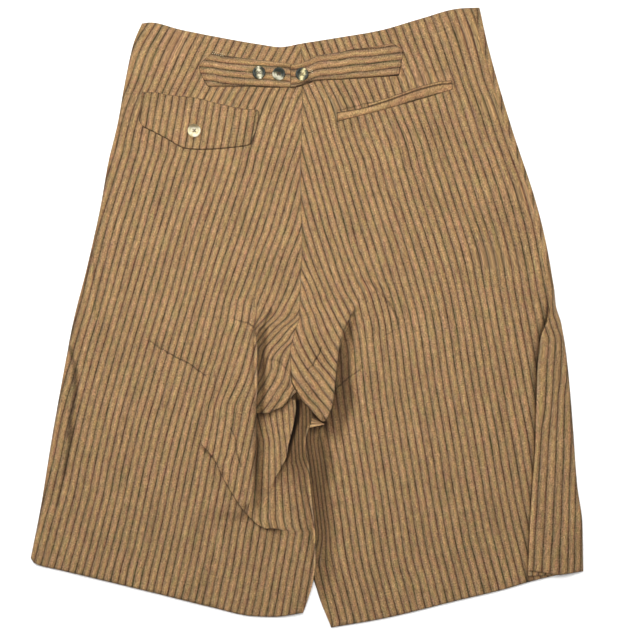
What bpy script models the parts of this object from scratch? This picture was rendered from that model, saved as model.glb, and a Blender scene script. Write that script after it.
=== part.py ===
"""Striped linen shorts laid flat with their back up.

Each cloth piece is a thin wall: an open surface worked out from the short tables below, given its
thickness by Solidify. x runs to the viewer's right, y towards the waist and z up, and the origin lies
on the surface that the shorts rest on, below the middle of their outline. The tables are in millimetres.
"Left" and "right" are the viewer's, who sees the back of the garment.
"""

import math

import bmesh
import bpy
import numpy as np

MM = 0.001
COLLECTION = "linen_shorts"

# Walls and how they are stacked
WALL = 1.2
TRIM_WALL = 1.4
GAP = 0.3
FRONT_LEVEL = WALL / 2
BACK_LEVEL = WALL + GAP + WALL / 2
TRIM_RISE = WALL / 2 + GAP + TRIM_WALL / 2
PUFF = 2.0
PUFF_RAMP = 120.0


def table(columns, *rows):
    """A short table: one array for each named column, sorted by the first one."""
    data = np.array(sorted(rows), dtype=float)
    named = {name: data[:, index] for index, name in enumerate(columns.split())}
    named["key"] = data[:, 0]
    return named


def read(source, column, where):
    """A column's value at any place, on a smooth curve that never overshoots its rows."""
    key = source["key"]
    value = source[column]
    step = np.diff(key)
    slope = np.diff(value) / step
    before = slope[:-1]
    after = slope[1:]
    turning = before * after <= 0
    total = np.where(turning, 1.0, before + after)
    inner = np.where(turning, 0.0, 2.0 * before * after / total)
    tangent = np.concatenate(([slope[0]], inner, [slope[-1]]))
    where = np.clip(np.asarray(where, dtype=float), key[0], key[-1])
    cell = np.clip(np.searchsorted(key, where) - 1, 0, len(step) - 1)
    t = (where - key[cell]) / step[cell]
    start = (1 + 2 * t) * (1 - t) ** 2 * value[cell]
    end = t * t * (3 - 2 * t) * value[cell + 1]
    leave = t * (1 - t) ** 2 * step[cell] * tangent[cell]
    arrive = t * t * (t - 1) * step[cell] * tangent[cell + 1]
    return start + end + leave + arrive


CROTCH = -84.0

# The outline: waist and hem are read across, the sides down the garment
WAIST = table(
    "x y",
    (-187, 335), (-178, 336), (-144, 328), (-99, 319), (-53, 311), (-30, 308), (-6, 312), (38, 319),
    (84, 327), (129, 340), (175, 352), (197, 353))
HEM_LEFT = table(
    "x y",
    (-314, -274), (-279, -287), (-176, -313), (-108, -330), (-62, -340), (-39, -341), (-4, -336))
HEM_RIGHT = table(
    "x y",
    (28, -353), (86, -343), (177, -321), (223, -310), (257, -300), (287, -293), (315, -289))
SIDE_LEFT = table(
    "y x",
    (336, -187), (312, -197), (266, -207), (221, -215), (175, -226), (129, -234), (61, -249), (-7, -266),
    (-76, -279), (-144, -291), (-213, -302), (-274, -314))
SIDE_RIGHT = table(
    "y x",
    (353, 197), (312, 206), (221, 232), (129, 262), (84, 273), (31, 282), (13, 284), (-7, 290),
    (-53, 297), (-121, 303), (-190, 308), (-235, 314), (-289, 315))

# The centre-back seam and, below the crotch, each leg's inner edge. Height is how far the cloth stands
# above the flat back there, and turn is the angle through which the left leg's edge rolls under.
EDGE_LEFT = table(
    "y x height turn roll",
    (312, -6, 0, 0, 1), (254, -5, 0, 0, 1), (155, -7, 0, 0, 1), (85, -5, 0, 0, 1), (41, -7, 0.5, 0, 1),
    (1, -8, 3, 0, 1), (-15, -13, 6, 0, 1), (-37, -18, 8, 0, 1), (-71, -17.2, 9, 0, 1), (-84, -11.5, 8.5, 0, 1),
    (-92, -12, 5, 90, 1), (-100, -8, 3.5, 150, 2), (-108, 4, 3.5, 180, 6), (-118, 6, 3.5, 180, 8),
    (-126, 1, 3.5, 180, 8), (-141, -1, 3.5, 180, 8), (-165, 2, 3.5, 180, 8), (-208, 6, 3.5, 180, 8),
    (-256, 10, 3.5, 180, 8), (-276, 10, 3.5, 180, 8), (-290, 9, 3.5, 180, 8), (-306, 6, 3, 180, 8),
    (-336, -4, 2, 180, 8))
EDGE_RIGHT = table(
    "y x height",
    (312, -6, 0), (254, -5, 0), (155, -7, 0), (85, -5, 0), (41, -7, 0.5), (1, -8, 3), (-15, -13, 6),
    (-37, -18, 8), (-71, -16.8, 9), (-84, -10.8, 8.5), (-92, -6, 8.5), (-101, 2, 8), (-110, 8, 7),
    (-116, 11, 6), (-121, 10, 5), (-127, 6, 2.5), (-133, 3, 0), (-151, -4, 0), (-208, -5, 0),
    (-276, 2, 0), (-311, 12, 0), (-353, 28, 0))
FRONT_EDGE_LEFT = table("y x", (312, -6), (155, -7), (0, -7), (-84, -8), (-150, -7), (-250, -5), (-336, -4))
FRONT_EDGE_RIGHT = table(
    "y x", (312, -6), (155, -7), (0, -7), (-84, -8), (-150, -5), (-250, -1), (-276, 2), (-311, 12), (-353, 28))
FRONT_COLUMNS = 6
FRONT_ROWS = 10
INNER_EDGE_RADIUS = 1.0
INNER_EDGE_WIDTH = 14.0
INNER_EDGE_REACH = 26.0

# Folds that run down the garment. Each is a double bend that lays the cloth on itself: x is its outer
# edge, angle how far it has turned over, radius its roundness, overlap the length of the hidden layer
# and width the strip of the garment that it takes up.
FOLD_COLUMNS = "y x angle radius overlap width"
THIGH_FOLD = table(
    FOLD_COLUMNS,
    (293, -51, 0, 1.8, 1, 16), (134, -54, 0, 1.8, 1, 16), (43, -56, 0, 1.8, 1, 16), (20, -56, 10, 1.8, 1, 16),
    (-5, -58, 60, 1.8, 1, 16), (-20, -57, 120, 2, 1, 16), (-37, -57, 175, 2, 6, 16), (-69, -58, 180, 2, 12, 16),
    (-133, -57, 180, 2, 12, 16), (-181, -58, 180, 2, 10, 16), (-200, -58, 150, 1.8, 1, 16),
    (-218, -60, 70, 1.8, 1, 16), (-236, -62, 0, 1.8, 1, 16), (-322, -64, 0, 1.8, 1, 16))
TONGUE_FOLD = table(
    FOLD_COLUMNS,
    (293, 72, 0, 2.2, 1, 16), (134, 66, 0, 2.2, 1, 16), (43, 61, 0, 2.2, 1, 16), (11, 57, 15, 2.2, 1, 16),
    (-1, 51, 60, 2.2, 1, 16), (-17, 43, 120, 2.2, 1, 16), (-29, 38, 160, 2.2, 2, 16),
    (-47, 34, 180, 2.2, 10, 16), (-66, 33, 180, 2.2, 12, 16), (-84, 31, 180, 2.1, 12, 16),
    (-101, 28, 180, 1.9, 9, 14), (-110, 25, 170, 1.6, 6, 12), (-118, 22, 150, 1.2, 1, 8),
    (-126, 20, 90, 0.9, 1, 8), (-135, 20, 30, 0.9, 1, 8), (-151, 22, 0, 0.9, 1, 8), (-231, 27, 0, 0.9, 1, 8),
    (-290, 32, 0, 0.9, 1, 8), (-345, 48, 0, 0.9, 1, 8))
SIDE_PLEAT = table(
    FOLD_COLUMNS,
    (353, 187, 0, 0.7, 0.5, 5.5), (312, 197, 0, 0.7, 0.5, 5.5), (221, 223, 0, 0.7, 0.5, 5.5),
    (134, 253, 0, 0.7, 0.5, 5.5), (84, 265, 0, 0.7, 0.5, 5.5), (45, 273, 0, 0.7, 0.5, 5.5),
    (31, 275, 20, 0.7, 0.5, 5.5), (3, 274, 100, 0.8, 1, 6), (-22, 266, 180, 1, 3, 6),
    (-51, 263, 180, 1, 5, 7), (-94, 262, 180, 1, 8, 10), (-152, 260, 180, 1, 14, 16),
    (-193, 256, 180, 1, 18, 20), (-266, 253, 180, 1, 30, 32), (-302, 252, 180, 1, 32, 34))
THIGH_REACH = 60.0
PLEAT_HEM_RISE = 14.0
PLEAT_HEM_START = -150.0

# Folds that run across the others are steps in the cloth's height, along lines from left to right
TONGUE_HEM = table(
    "x y", (-60, -111), (-44, -111), (-36, -107), (-27, -103), (-21, -96), (-14, -87), (-5, -84))
THIGH_PATCH = table(
    "y x rise",
    (-80, -10, 0), (-90, -10, 3), (-96, -8, 4), (-116, -12, 4), (-147, -19, 3.5), (-170, -26, 2),
    (-187, -33, 0), (-200, -38, 0))
KNEE_FOLD = table(
    "x y rise",
    (-125, -146, 0), (-105, -160, 1.5), (-93, -184, 2.5), (-75, -213, 3), (-61, -231, 3), (-50, -239, 2),
    (-30, -245, 1), (-7, -246, 0))
STEP_WIDTH = 4.0
KNEE_STEP_WIDTH = 14.0
KNEE_REACH = 26.0

# The strap, flap and welts: sides are read from top (0) to bottom (1), edges across
STRAP_LEFT_TOP = table("x y", (-123, 303), (-107, 301), (-94, 298), (-72, 295), (-37, 291), (-11, 288), (7, 288))
STRAP_LEFT_BOTTOM = table("x y", (-123, 262), (-112, 263), (-64, 263), (-42, 262), (-15, 262), (7, 268))
STRAP_LEFT_END = table("part x", (0, -107), (0.45, -122), (0.8, -117), (1, -112))
STRAP_LEFT_HIDDEN_END = 6.0
STRAP_RIGHT_TOP = table(
    "x y", (-18, 287), (-10, 288), (-1, 291), (14, 298), (40, 302), (52, 305), (69, 307), (98, 312), (111, 314))
STRAP_RIGHT_BOTTOM = table("x y", (-18, 261), (-12, 262), (4, 268), (14, 270), (39, 271), (85, 274), (111, 276))
STRAP_RIGHT_END = table("part x", (0, 98), (0.3, 110), (0.6, 108), (1, 105))
STRAP_FREE_END = -18.0
STRAP_CROSSING = table("x rise", (-30, 1), (8, 1), (22, 0), (40, 0))
STRAP_CROSSING_RISE = TRIM_WALL + GAP
FLAP_TOP = table(
    "x y", (-191, 256), (-172, 256), (-158, 253), (-128, 250), (-100, 243), (-70, 237), (-54, 236))
FLAP_BOTTOM = table(
    "x y", (-191, 219), (-186, 217), (-162, 205), (-136, 192), (-121, 191), (-70, 195), (-54, 202))
FLAP_LEFT = table("part x", (0, -187), (0.5, -189), (0.85, -190), (1, -186))
FLAP_RIGHT = table("part x", (0, -56), (0.1, -54), (0.6, -57), (1, -63))
WELT_MOUTH = table("x y", (35, 233), (63, 238), (88, 245), (132, 260), (153, 265), (165, 266))
WELT_LOWER_EDGE = table("x y", (35, 223), (66, 231), (103, 241), (138, 251), (167, 260))
WELT_LIP = 2.6
WELT_MOUTH_GAP = 0.8
WELT_UPPER_START = 70.0

# Buttons: place, and the surface that each is sewn to
BUTTON_RADIUS = 7.5
BUTTON_HEIGHT = 3.0
BUTTON_HOLE_RADIUS = 0.9
BUTTON_HOLE_OFFSET = 1.8
BUTTON_TURNS = 20
BUTTON_PROFILE = (
    (0.0, 0.55), (0.5, 0.55), (0.62, 0.72), (0.78, 0.98), (0.92, 0.94), (1.0, 0.7), (0.98, 0.3), (0.8, 0.02),
    (0.0, 0.0))

# Colours: the mean of the stripes for the cloth, then the two kinds of button
LINEN = (0.33, 0.20, 0.10, 1.0)
LINEN_SHADE = (0.27, 0.16, 0.08, 1.0)
DARK_HORN = (0.05, 0.05, 0.035, 1.0)
IVORY = (0.72, 0.62, 0.42, 1.0)


def smooth(value):
    """An even S-shaped rise from 0 to 1."""
    value = np.clip(value, 0.0, 1.0)
    return value * value * (3.0 - 2.0 * value)


def back_puff(x, y):
    """How far the back lies above flat: a low even crown that dies away at the outline."""
    left = read(SIDE_LEFT, "x", y)
    right = read(SIDE_RIGHT, "x", y)
    across = np.clip((2 * x - left - right) / (right - left), -1.0, 1.0)
    top = smooth((read(WAIST, "y", x) - y) / PUFF_RAMP)
    foot = smooth((y + 340.0) / PUFF_RAMP)
    return PUFF * (1 - across ** 4) * top * foot


class Fold:
    """A double bend across a strip of the panel, with one value for each row of the grid."""

    def __init__(self, source, y):
        self.edge = read(source, "x", y)
        self.angle = np.maximum(np.radians(read(source, "angle", y)), 0.001)
        self.overlap = read(source, "overlap", y)
        self.width = read(source, "width", y)
        self.bend = math.pi * read(source, "radius", y)
        self.radius = self.bend / self.angle
        self.sine = np.sin(self.angle)
        self.cosine = np.cos(self.angle)
        self.drop = 2 * self.radius * (1 - self.cosine) + self.overlap * self.sine
        across = 2 * self.radius * self.sine + self.overlap * self.cosine
        self.lead = (self.width - across) / 2

    def point(self, part, share):
        """How far along and how far down the cloth is, at a share of one of its five parts."""
        turned = self.angle * share
        bend_end = self.lead + self.radius * self.sine
        bend_drop = self.radius * (1 - self.cosine)
        if part == "lead":
            return self.lead * share, np.zeros_like(self.lead)
        if part == "first bend":
            return self.lead + self.radius * np.sin(turned), self.radius * (1 - np.cos(turned))
        if part == "hidden layer":
            along = bend_end + self.overlap * self.cosine * share
            return along, bend_drop + self.overlap * self.sine * share
        turned = self.angle * (1 - share)
        along = bend_end + self.overlap * self.cosine
        down = bend_drop + self.overlap * self.sine
        if part == "second bend":
            along = along + self.radius * (self.sine - np.sin(turned))
            return along, down + self.radius * (np.cos(turned) - self.cosine)
        return self.width - self.lead * (1 - share), self.drop


class RolledEdge:
    """The inner edge of the left leg: cloth that runs out to the edge and rolls back under itself."""

    def __init__(self, source, y):
        self.edge = read(source, "x", y)
        self.angle = np.maximum(np.radians(read(source, "turn", y)), 0.001)
        self.width = np.full_like(self.edge, INNER_EDGE_WIDTH)
        self.radius = math.pi * INNER_EDGE_RADIUS / self.angle
        reach = self.radius * np.sin(np.minimum(self.angle, math.pi / 2))
        self.roll = read(source, "roll", y)
        returned = np.where(self.angle < math.pi / 2, self.roll * np.cos(self.angle), 0.0)
        self.lead = self.width - reach - returned

    def point(self, part, share):
        turned = self.angle * share
        if part == "lead":
            return self.lead * share, np.zeros_like(self.lead)
        if part == "first bend":
            return self.lead + self.radius * np.sin(turned), self.radius * (1 - np.cos(turned))
        along = self.lead + self.radius * np.sin(self.angle) + self.roll * np.cos(self.angle) * share
        down = self.radius * (1 - np.cos(self.angle)) + self.roll * np.sin(self.angle) * share
        return along, down


FOLD_STATIONS = (
    [("lead", 0.0), ("lead", 1.0)]
    + [("first bend", step / 3) for step in (1, 2, 3)]
    + [("hidden layer", 1.0)]
    + [("second bend", step / 3) for step in (1, 2, 3)]
    + [("trail", 1.0)])
ROLL_STATIONS = (
    [("lead", 0.0), ("lead", 1.0)]
    + [("first bend", step / 3) for step in (1, 2, 3)]
    + [("hidden layer", 1.0)])


def row_heights(top, foot):
    """The y of each row: wide rows on the flat cloth, close ones at the crotch, one through its point."""
    body = np.linspace(0.0, 0.78, 9, endpoint=False)
    seat = np.linspace(0.78, 1.0, 10, endpoint=False)
    below_crotch = np.linspace(0.0, 0.15, 10, endpoint=False)
    thigh = np.linspace(0.15, 0.45, 9, endpoint=False)
    leg = np.linspace(0.45, 1.0, 6)
    upper = top + (CROTCH - top) * np.concatenate((body, seat))
    lower = CROTCH + (foot - CROTCH) * np.concatenate((below_crotch, thigh, leg))
    return np.concatenate((upper, lower))


def column_heights(lines, share, waist, hem, rows=row_heights):
    """The y of each row of one column, which lies between two of the panel's guide lines."""
    left, right = lines
    top = 312.0
    foot = -300.0
    for _ in range(4):
        top = float(read(waist, "y", left(top) * (1 - share) + right(top) * share))
        foot = float(read(hem, "y", left(foot) * (1 - share) + right(foot) * share))
    return rows(top, foot)


def guide(source, shift=0.0):
    return lambda y: read(source, "x", y) + shift


def fold_start(source):
    return lambda y: read(source, "x", y) - read(source, "width", y)


def fold_end(source):
    return lambda y: read(source, "x", y) + read(source, "width", y)


def plain_columns(left, right, count, waist, hem):
    """Evenly spaced columns between two guide lines, without the first and the last."""
    columns = []
    for step in range(1, count):
        share = step / count
        y = column_heights((left, right), share, waist, hem)
        columns.append((left(y) * (1 - share) + right(y) * share, y))
    return columns


def tongue_ramp(y, x):
    """The left half of the crotch tongue: it rises from the thigh fold to the centre seam."""
    low = read(THIGH_FOLD, "x", y)
    high = read(EDGE_LEFT, "x", y)
    return smooth((x - low) / (high - low)) ** 0.8


def knee_step(x, y):
    """A low step across the left leg: the cloth above and right of the line lies on the cloth below."""
    line = read(KNEE_FOLD, "y", x)
    above = y - line
    side = smooth(above / KNEE_STEP_WIDTH + 0.5)
    return read(KNEE_FOLD, "rise", x) * side * np.exp(-np.maximum(above, 0.0) / KNEE_REACH)


def left_height(x, y):
    """Height of the left back over its flat level, right of the thigh fold."""
    above_hem = smooth((y - read(TONGUE_HEM, "y", x)) / STEP_WIDTH + 0.5)
    seat = np.maximum(y, CROTCH)
    tongue = read(EDGE_LEFT, "height", seat) * tongue_ramp(seat, x) * above_hem
    patch_edge = read(THIGH_PATCH, "x", y)
    inside = smooth((patch_edge - x) / STEP_WIDTH + 0.5)
    across = smooth((x - read(THIGH_FOLD, "x", y)) / 20.0)
    patch = read(THIGH_PATCH, "rise", y) * inside * across * (1 - above_hem)
    start = read(EDGE_LEFT, "x", y) - INNER_EDGE_WIDTH
    near_edge = 1 - smooth((start - x) / INNER_EDGE_REACH)
    leg_edge = read(EDGE_LEFT, "height", y) * near_edge ** 2 * smooth((CROTCH - y) / 8.0)
    return np.maximum(np.maximum(tongue, patch), leg_edge)


def build_back_left():
    """Left back: side, thigh fold, half of the tongue, and the leg's rolled inner edge."""
    waist, hem = WAIST, HEM_LEFT
    side = guide(SIDE_LEFT)
    start = fold_start(THIGH_FOLD)
    edge = guide(THIGH_FOLD)
    inner = guide(EDGE_LEFT)
    roll = guide(EDGE_LEFT, -INNER_EDGE_WIDTH)
    columns = []
    y = column_heights((side, side), 0.0, waist, hem)
    columns.append((side(y), y, np.zeros_like(y)))
    for x, y in plain_columns(side, start, 11, waist, hem):
        fold = Fold(THIGH_FOLD, y)
        away = (fold.edge - fold.width - x) / THIGH_REACH
        columns.append((x, y, fold.drop * (1 - smooth(away)) + knee_step(x, y)))
    for part, share in FOLD_STATIONS:
        y = column_heights((start, edge), 0.5, waist, hem)
        fold = Fold(THIGH_FOLD, y)
        along, down = fold.point(part, share)
        x = fold.edge - fold.width + along
        columns.append((x, y, fold.drop - down + knee_step(x, y)))
    for x, y in plain_columns(edge, roll, 9, waist, hem):
        columns.append((x, y, left_height(x, y) + knee_step(x, y)))
    for part, share in ROLL_STATIONS:
        y = column_heights((roll, inner), 0.8, waist, hem)
        roll_edge = RolledEdge(EDGE_LEFT, y)
        along, down = roll_edge.point(part, share)
        x = roll_edge.edge - roll_edge.width + along - GAP / 2
        columns.append((x, y, left_height(x, y) - down + knee_step(x, y)))
    return cloth_panel("back_left", columns, BACK_LEVEL, back_puff, LINEN)


def build_back_right():
    """Right back: half of the tongue with its fold over the leg, then the leg and the side pleat."""
    waist, hem = WAIST, HEM_RIGHT
    inner = guide(EDGE_RIGHT, GAP / 2)
    start = fold_start(TONGUE_FOLD)
    edge = guide(TONGUE_FOLD)
    pleat = guide(SIDE_PLEAT)
    pleat_end = fold_end(SIDE_PLEAT)
    side = guide(SIDE_RIGHT)
    columns = []
    y = column_heights((inner, inner), 0.0, waist, hem)
    columns.append((inner(y), y, read(EDGE_RIGHT, "height", y)))
    for x, y in plain_columns(inner, start, 4, waist, hem):
        fold = Fold(TONGUE_FOLD, y)
        share = (x - inner(y)) / (start(y) - inner(y))
        columns.append((x, y, read(EDGE_RIGHT, "height", y) * (1 - share) + fold.drop * share))
    for part, share in FOLD_STATIONS:
        y = column_heights((start, edge), 0.5, waist, hem)
        fold = Fold(TONGUE_FOLD, y)
        along, down = fold.point(part, share)
        columns.append((fold.edge - fold.width + along, y, fold.drop - down))
    for x, y in plain_columns(edge, pleat, 7, waist, hem):
        columns.append((x, y, np.zeros_like(y)))
    for part, share in reversed(FOLD_STATIONS):
        y = column_heights((pleat, pleat_end), 0.5, waist, hem)
        fold = Fold(SIDE_PLEAT, y)
        along, down = fold.point(part, share)
        lifted = (fold.drop - down) / np.maximum(fold.drop, 0.001)
        x = fold.edge + fold.width - along
        short = PLEAT_HEM_RISE * np.clip((fold.edge[-1] + fold.width[-1] - x) / fold.width[-1], 0.0, 1.0)
        y = y + short * lifted * smooth((PLEAT_HEM_START - y) / (PLEAT_HEM_START - y[-1]))
        columns.append((x, y, fold.drop - down))
    for x, y in plain_columns(pleat_end, side, 3, waist, hem):
        fold = Fold(SIDE_PLEAT, y)
        away = (x - pleat_end(y)) / (side(y) - pleat_end(y))
        columns.append((x, y, fold.drop * (1 - smooth(away))))
    y = column_heights((side, side), 0.0, waist, hem)
    columns.append((side(y), y, np.zeros_like(y)))
    return cloth_panel("back_right", columns, BACK_LEVEL, back_puff, LINEN)


def even_rows(top, foot):
    upper = np.linspace(top, CROTCH, FRONT_ROWS, endpoint=False)
    return np.concatenate((upper, np.linspace(CROTCH, foot, FRONT_ROWS)))


def build_front(name, left, right, hem):
    """A front: flat on the surface, from its side to the centre-front seam and the leg's inner edge."""
    columns = []
    for step in range(FRONT_COLUMNS + 1):
        share = step / FRONT_COLUMNS
        y = column_heights((left, right), share, WAIST, hem, even_rows)
        columns.append((left(y) * (1 - share) + right(y) * share, y, np.zeros_like(y)))
    return cloth_panel(name, columns, FRONT_LEVEL, None, LINEN_SHADE)


def no_puff(x, y):
    return np.zeros_like(x)


def cloth_panel(name, columns, level, puff, colour, wall=WALL):
    """Joins the columns into one surface and gives it its thickness, half on each side."""
    x = np.array([column[0] for column in columns]).T
    y = np.array([column[1] for column in columns]).T
    height = np.array([column[2] for column in columns]).T
    crown = (puff or no_puff)(x, y)
    points = np.stack((x, y, level + height + crown), axis=-1) * MM
    rows, count = x.shape
    corner = (np.arange(rows - 1)[:, None] * count + np.arange(count - 1)).ravel()
    faces = np.stack((corner, corner + count, corner + count + 1, corner + 1), axis=-1)
    mesh = bpy.data.meshes.new(name)
    mesh.from_pydata(points.reshape(-1, 3).tolist(), [], faces.tolist())
    mesh.shade_smooth()
    piece = add_object(name, mesh, colour, 0.9)
    solidify = piece.modifiers.new("wall", "SOLIDIFY")
    solidify.thickness = wall * MM
    solidify.offset = 0.0
    solidify.use_even_offset = True
    return piece


def lie_of_back(x, y):
    """Height of the back's middle surface where the trims lie on it."""
    return BACK_LEVEL + back_puff(x, y)


def build_trim(name, top, bottom, left, right, counts, rise=None):
    """A strap, flap or welt: a patch between two edges, made from the back's points moved out."""
    across, down = counts
    columns = []
    part = np.linspace(0.0, 1.0, down + 1)
    for step in range(across + 1):
        share = step / across
        x = left(part) * (1 - share) + right(part) * share
        y = top(x) * (1 - part) + bottom(x) * part
        lift = np.zeros_like(x) if rise is None else rise(x)
        columns.append((x, y, lie_of_back(x, y) - BACK_LEVEL + TRIM_RISE + lift))
    return cloth_panel(name, columns, BACK_LEVEL, None, LINEN, TRIM_WALL)


def edge_of(source, shift=0.0):
    return lambda x: read(source, "y", x) + shift


def end_of(source):
    return lambda part: read(source, "x", part)


def straight_end(x):
    return lambda part: np.full_like(part, x)


def strap_crossing(x):
    return STRAP_CROSSING_RISE * read(STRAP_CROSSING, "rise", x)


def build_trims():
    build_trim(
        "strap_left", edge_of(STRAP_LEFT_TOP), edge_of(STRAP_LEFT_BOTTOM), end_of(STRAP_LEFT_END),
        straight_end(STRAP_LEFT_HIDDEN_END), (14, 4))
    build_trim(
        "strap_right", edge_of(STRAP_RIGHT_TOP), edge_of(STRAP_RIGHT_BOTTOM), straight_end(STRAP_FREE_END),
        end_of(STRAP_RIGHT_END), (16, 4), strap_crossing)
    build_trim(
        "pocket_flap", edge_of(FLAP_TOP), edge_of(FLAP_BOTTOM), end_of(FLAP_LEFT), end_of(FLAP_RIGHT), (16, 5))
    build_trim(
        "welt_lower", edge_of(WELT_MOUTH), edge_of(WELT_LOWER_EDGE), straight_end(35.0), straight_end(166.0),
        (14, 2))
    build_trim(
        "welt_upper", edge_of(WELT_MOUTH, WELT_MOUTH_GAP + WELT_LIP), edge_of(WELT_MOUTH, WELT_MOUTH_GAP),
        straight_end(WELT_UPPER_START), straight_end(165.0), (10, 1))


def build_button(name, x, y, seat, colour):
    """A dished, four-hole button: a turned profile, cut by four pins, tilted to lie on the cloth."""
    profile = bpy.data.meshes.new(name)
    points = [(BUTTON_RADIUS * out * MM, 0.0, BUTTON_HEIGHT * up * MM) for out, up in BUTTON_PROFILE]
    profile.from_pydata(points, [(index, index + 1) for index in range(len(points) - 1)], [])
    button = add_object(name, profile, colour, 0.3)
    screw = button.modifiers.new("turned", "SCREW")
    screw.steps = BUTTON_TURNS
    screw.render_steps = BUTTON_TURNS
    screw.use_merge_vertices = True
    screw.merge_threshold = 0.00001
    place_on_cloth(button, x, y, seat)
    for turn in range(4):
        angle = math.radians(45 + 90 * turn)
        pin = add_pin(f"{name}_pin_{turn}")
        pin.location = (
            BUTTON_HOLE_OFFSET * math.cos(angle) * MM, BUTTON_HOLE_OFFSET * math.sin(angle) * MM,
            BUTTON_HEIGHT / 2 * MM)
        pin.parent = button
        cut = button.modifiers.new("hole", "BOOLEAN")
        cut.operation = "DIFFERENCE"
        cut.object = pin
    return button


def place_on_cloth(piece, x, y, seat):
    """Sets a piece on the cloth's surface at (x, y), turned to the cloth's slope there."""
    reach = BUTTON_RADIUS
    slope_x = (lie_of_back(x + reach, y) - lie_of_back(x - reach, y)) / (2 * reach)
    slope_y = (lie_of_back(x, y + reach) - lie_of_back(x, y - reach)) / (2 * reach)
    piece.location = (x * MM, y * MM, (float(lie_of_back(x, y)) + seat) * MM)
    piece.rotation_euler = (math.atan(slope_y), -math.atan(slope_x), 0.0)


def add_pin(name):
    mesh = bpy.data.meshes.new(name)
    shape = bmesh.new()
    bmesh.ops.create_cone(
        shape, cap_ends=True, segments=8, radius1=BUTTON_HOLE_RADIUS * MM, radius2=BUTTON_HOLE_RADIUS * MM,
        depth=2 * BUTTON_HEIGHT * MM)
    shape.to_mesh(mesh)
    shape.free()
    pin = bpy.data.objects.new(name, mesh)
    CUTTERS.objects.link(pin)
    pin.hide_render = True
    pin.display_type = "WIRE"
    return pin


def build_buttons():
    on_trim = TRIM_RISE + TRIM_WALL / 2 + GAP
    build_button("strap_button_1", -54.0, 279.0, on_trim, DARK_HORN)
    build_button("strap_button_2", -31.5, 277.0, on_trim, DARK_HORN)
    build_button("strap_button_3", -5.0, 277.0, on_trim + STRAP_CROSSING_RISE, DARK_HORN)
    build_button("flap_button", -127.5, 212.5, on_trim, IVORY)


def add_object(name, mesh, colour, roughness):
    material = bpy.data.materials.new(name)
    material.use_nodes = True
    shader = material.node_tree.nodes["Principled BSDF"]
    shader.inputs["Base Color"].default_value = colour
    shader.inputs["Roughness"].default_value = roughness
    shader.inputs["Metallic"].default_value = 0.0
    mesh.materials.append(material)
    piece = bpy.data.objects.new(name, mesh)
    PARTS.objects.link(piece)
    return piece


def new_collection(name):
    collection = bpy.data.collections.new(name)
    bpy.context.scene.collection.children.link(collection)
    return collection


for existing in list(bpy.data.objects):
    bpy.data.objects.remove(existing, do_unlink=True)
PARTS = new_collection(COLLECTION)
CUTTERS = new_collection(COLLECTION + "_cutters")

build_back_left()
build_back_right()
build_front("front_left", guide(SIDE_LEFT), guide(FRONT_EDGE_LEFT, -GAP / 2), HEM_LEFT)
build_front("front_right", guide(FRONT_EDGE_RIGHT, GAP / 2), guide(SIDE_RIGHT), HEM_RIGHT)
build_trims()
build_buttons()
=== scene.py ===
import functools
import math

import bpy
import numpy as np
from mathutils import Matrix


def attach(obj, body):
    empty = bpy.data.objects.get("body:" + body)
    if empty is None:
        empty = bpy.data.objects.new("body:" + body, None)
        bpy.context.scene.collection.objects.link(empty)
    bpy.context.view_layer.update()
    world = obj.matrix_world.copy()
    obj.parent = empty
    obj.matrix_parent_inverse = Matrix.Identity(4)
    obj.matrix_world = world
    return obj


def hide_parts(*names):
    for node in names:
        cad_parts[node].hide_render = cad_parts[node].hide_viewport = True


# Striped linen shorts laid flat with the back up. All tables are in millimetres: x to the viewer's right,
# y towards the waist, z up. "Left" and "right" are the viewer's.
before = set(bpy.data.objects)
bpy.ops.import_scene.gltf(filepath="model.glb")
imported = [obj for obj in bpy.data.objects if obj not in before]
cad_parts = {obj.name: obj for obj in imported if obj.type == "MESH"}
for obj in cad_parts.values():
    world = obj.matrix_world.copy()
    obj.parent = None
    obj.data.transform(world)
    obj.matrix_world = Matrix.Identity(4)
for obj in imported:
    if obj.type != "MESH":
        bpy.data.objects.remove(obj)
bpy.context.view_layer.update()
mm = 0.001
print("frame loaded")


# Shared helpers

def table(columns, *rows):
    # one array for each named column, sorted by the first; a short row ends as the row before it does
    full = list(rows)
    for index in range(1, len(full)):
        full[index] = rows[index] + full[index - 1][len(rows[index]):]
    data = np.array(sorted(full), dtype=float)
    named = {name: data[:, index] for index, name in enumerate(columns.split())}
    named["key"] = data[:, 0]
    return named


def records(columns, *rows):
    # one dictionary for each row; a short row leaves its last columns out
    return [dict(zip(columns.split(), row)) for row in rows]


def read(source, column, where):
    # a column at any place: cubic pieces whose slopes are kept low enough that the curve never overshoots
    key, value = source["key"], source[column]
    step = np.diff(key)
    slope = np.diff(value) / step
    before, after = slope[:-1], slope[1:]
    turning = before * after <= 0
    total = np.where(turning, 1.0, before + after)
    inner = np.where(turning, 0.0, 2.0 * before * after / total)
    tangent = np.concatenate(([slope[0]], inner, [slope[-1]]))
    where = np.clip(np.asarray(where, dtype=float), key[0], key[-1])
    cell = np.clip(np.searchsorted(key, where) - 1, 0, len(step) - 1)
    t = (where - key[cell]) / step[cell]
    start = (1 + 2 * t) * (1 - t) ** 2 * value[cell]
    end = t * t * (3 - 2 * t) * value[cell + 1]
    leave = t * (1 - t) ** 2 * step[cell] * tangent[cell]
    arrive = t * t * (t - 1) * step[cell] * tangent[cell + 1]
    return start + end + leave + arrive


def readAll(source, where):
    return {name: read(source, name, where) for name in source if name != "key"}


def smooth(value):
    # an even S-shaped rise from 0 to 1
    value = np.clip(value, 0.0, 1.0)
    return value * value * (3.0 - 2.0 * value)


def between(value, none, full):
    # a smooth change from 0 at one place to 1 at the other, whichever of them is higher
    return smooth((value - none) / (full - none))


def bell(value, middle, width):
    return np.exp(-((value - middle) / width) ** 2)


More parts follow.
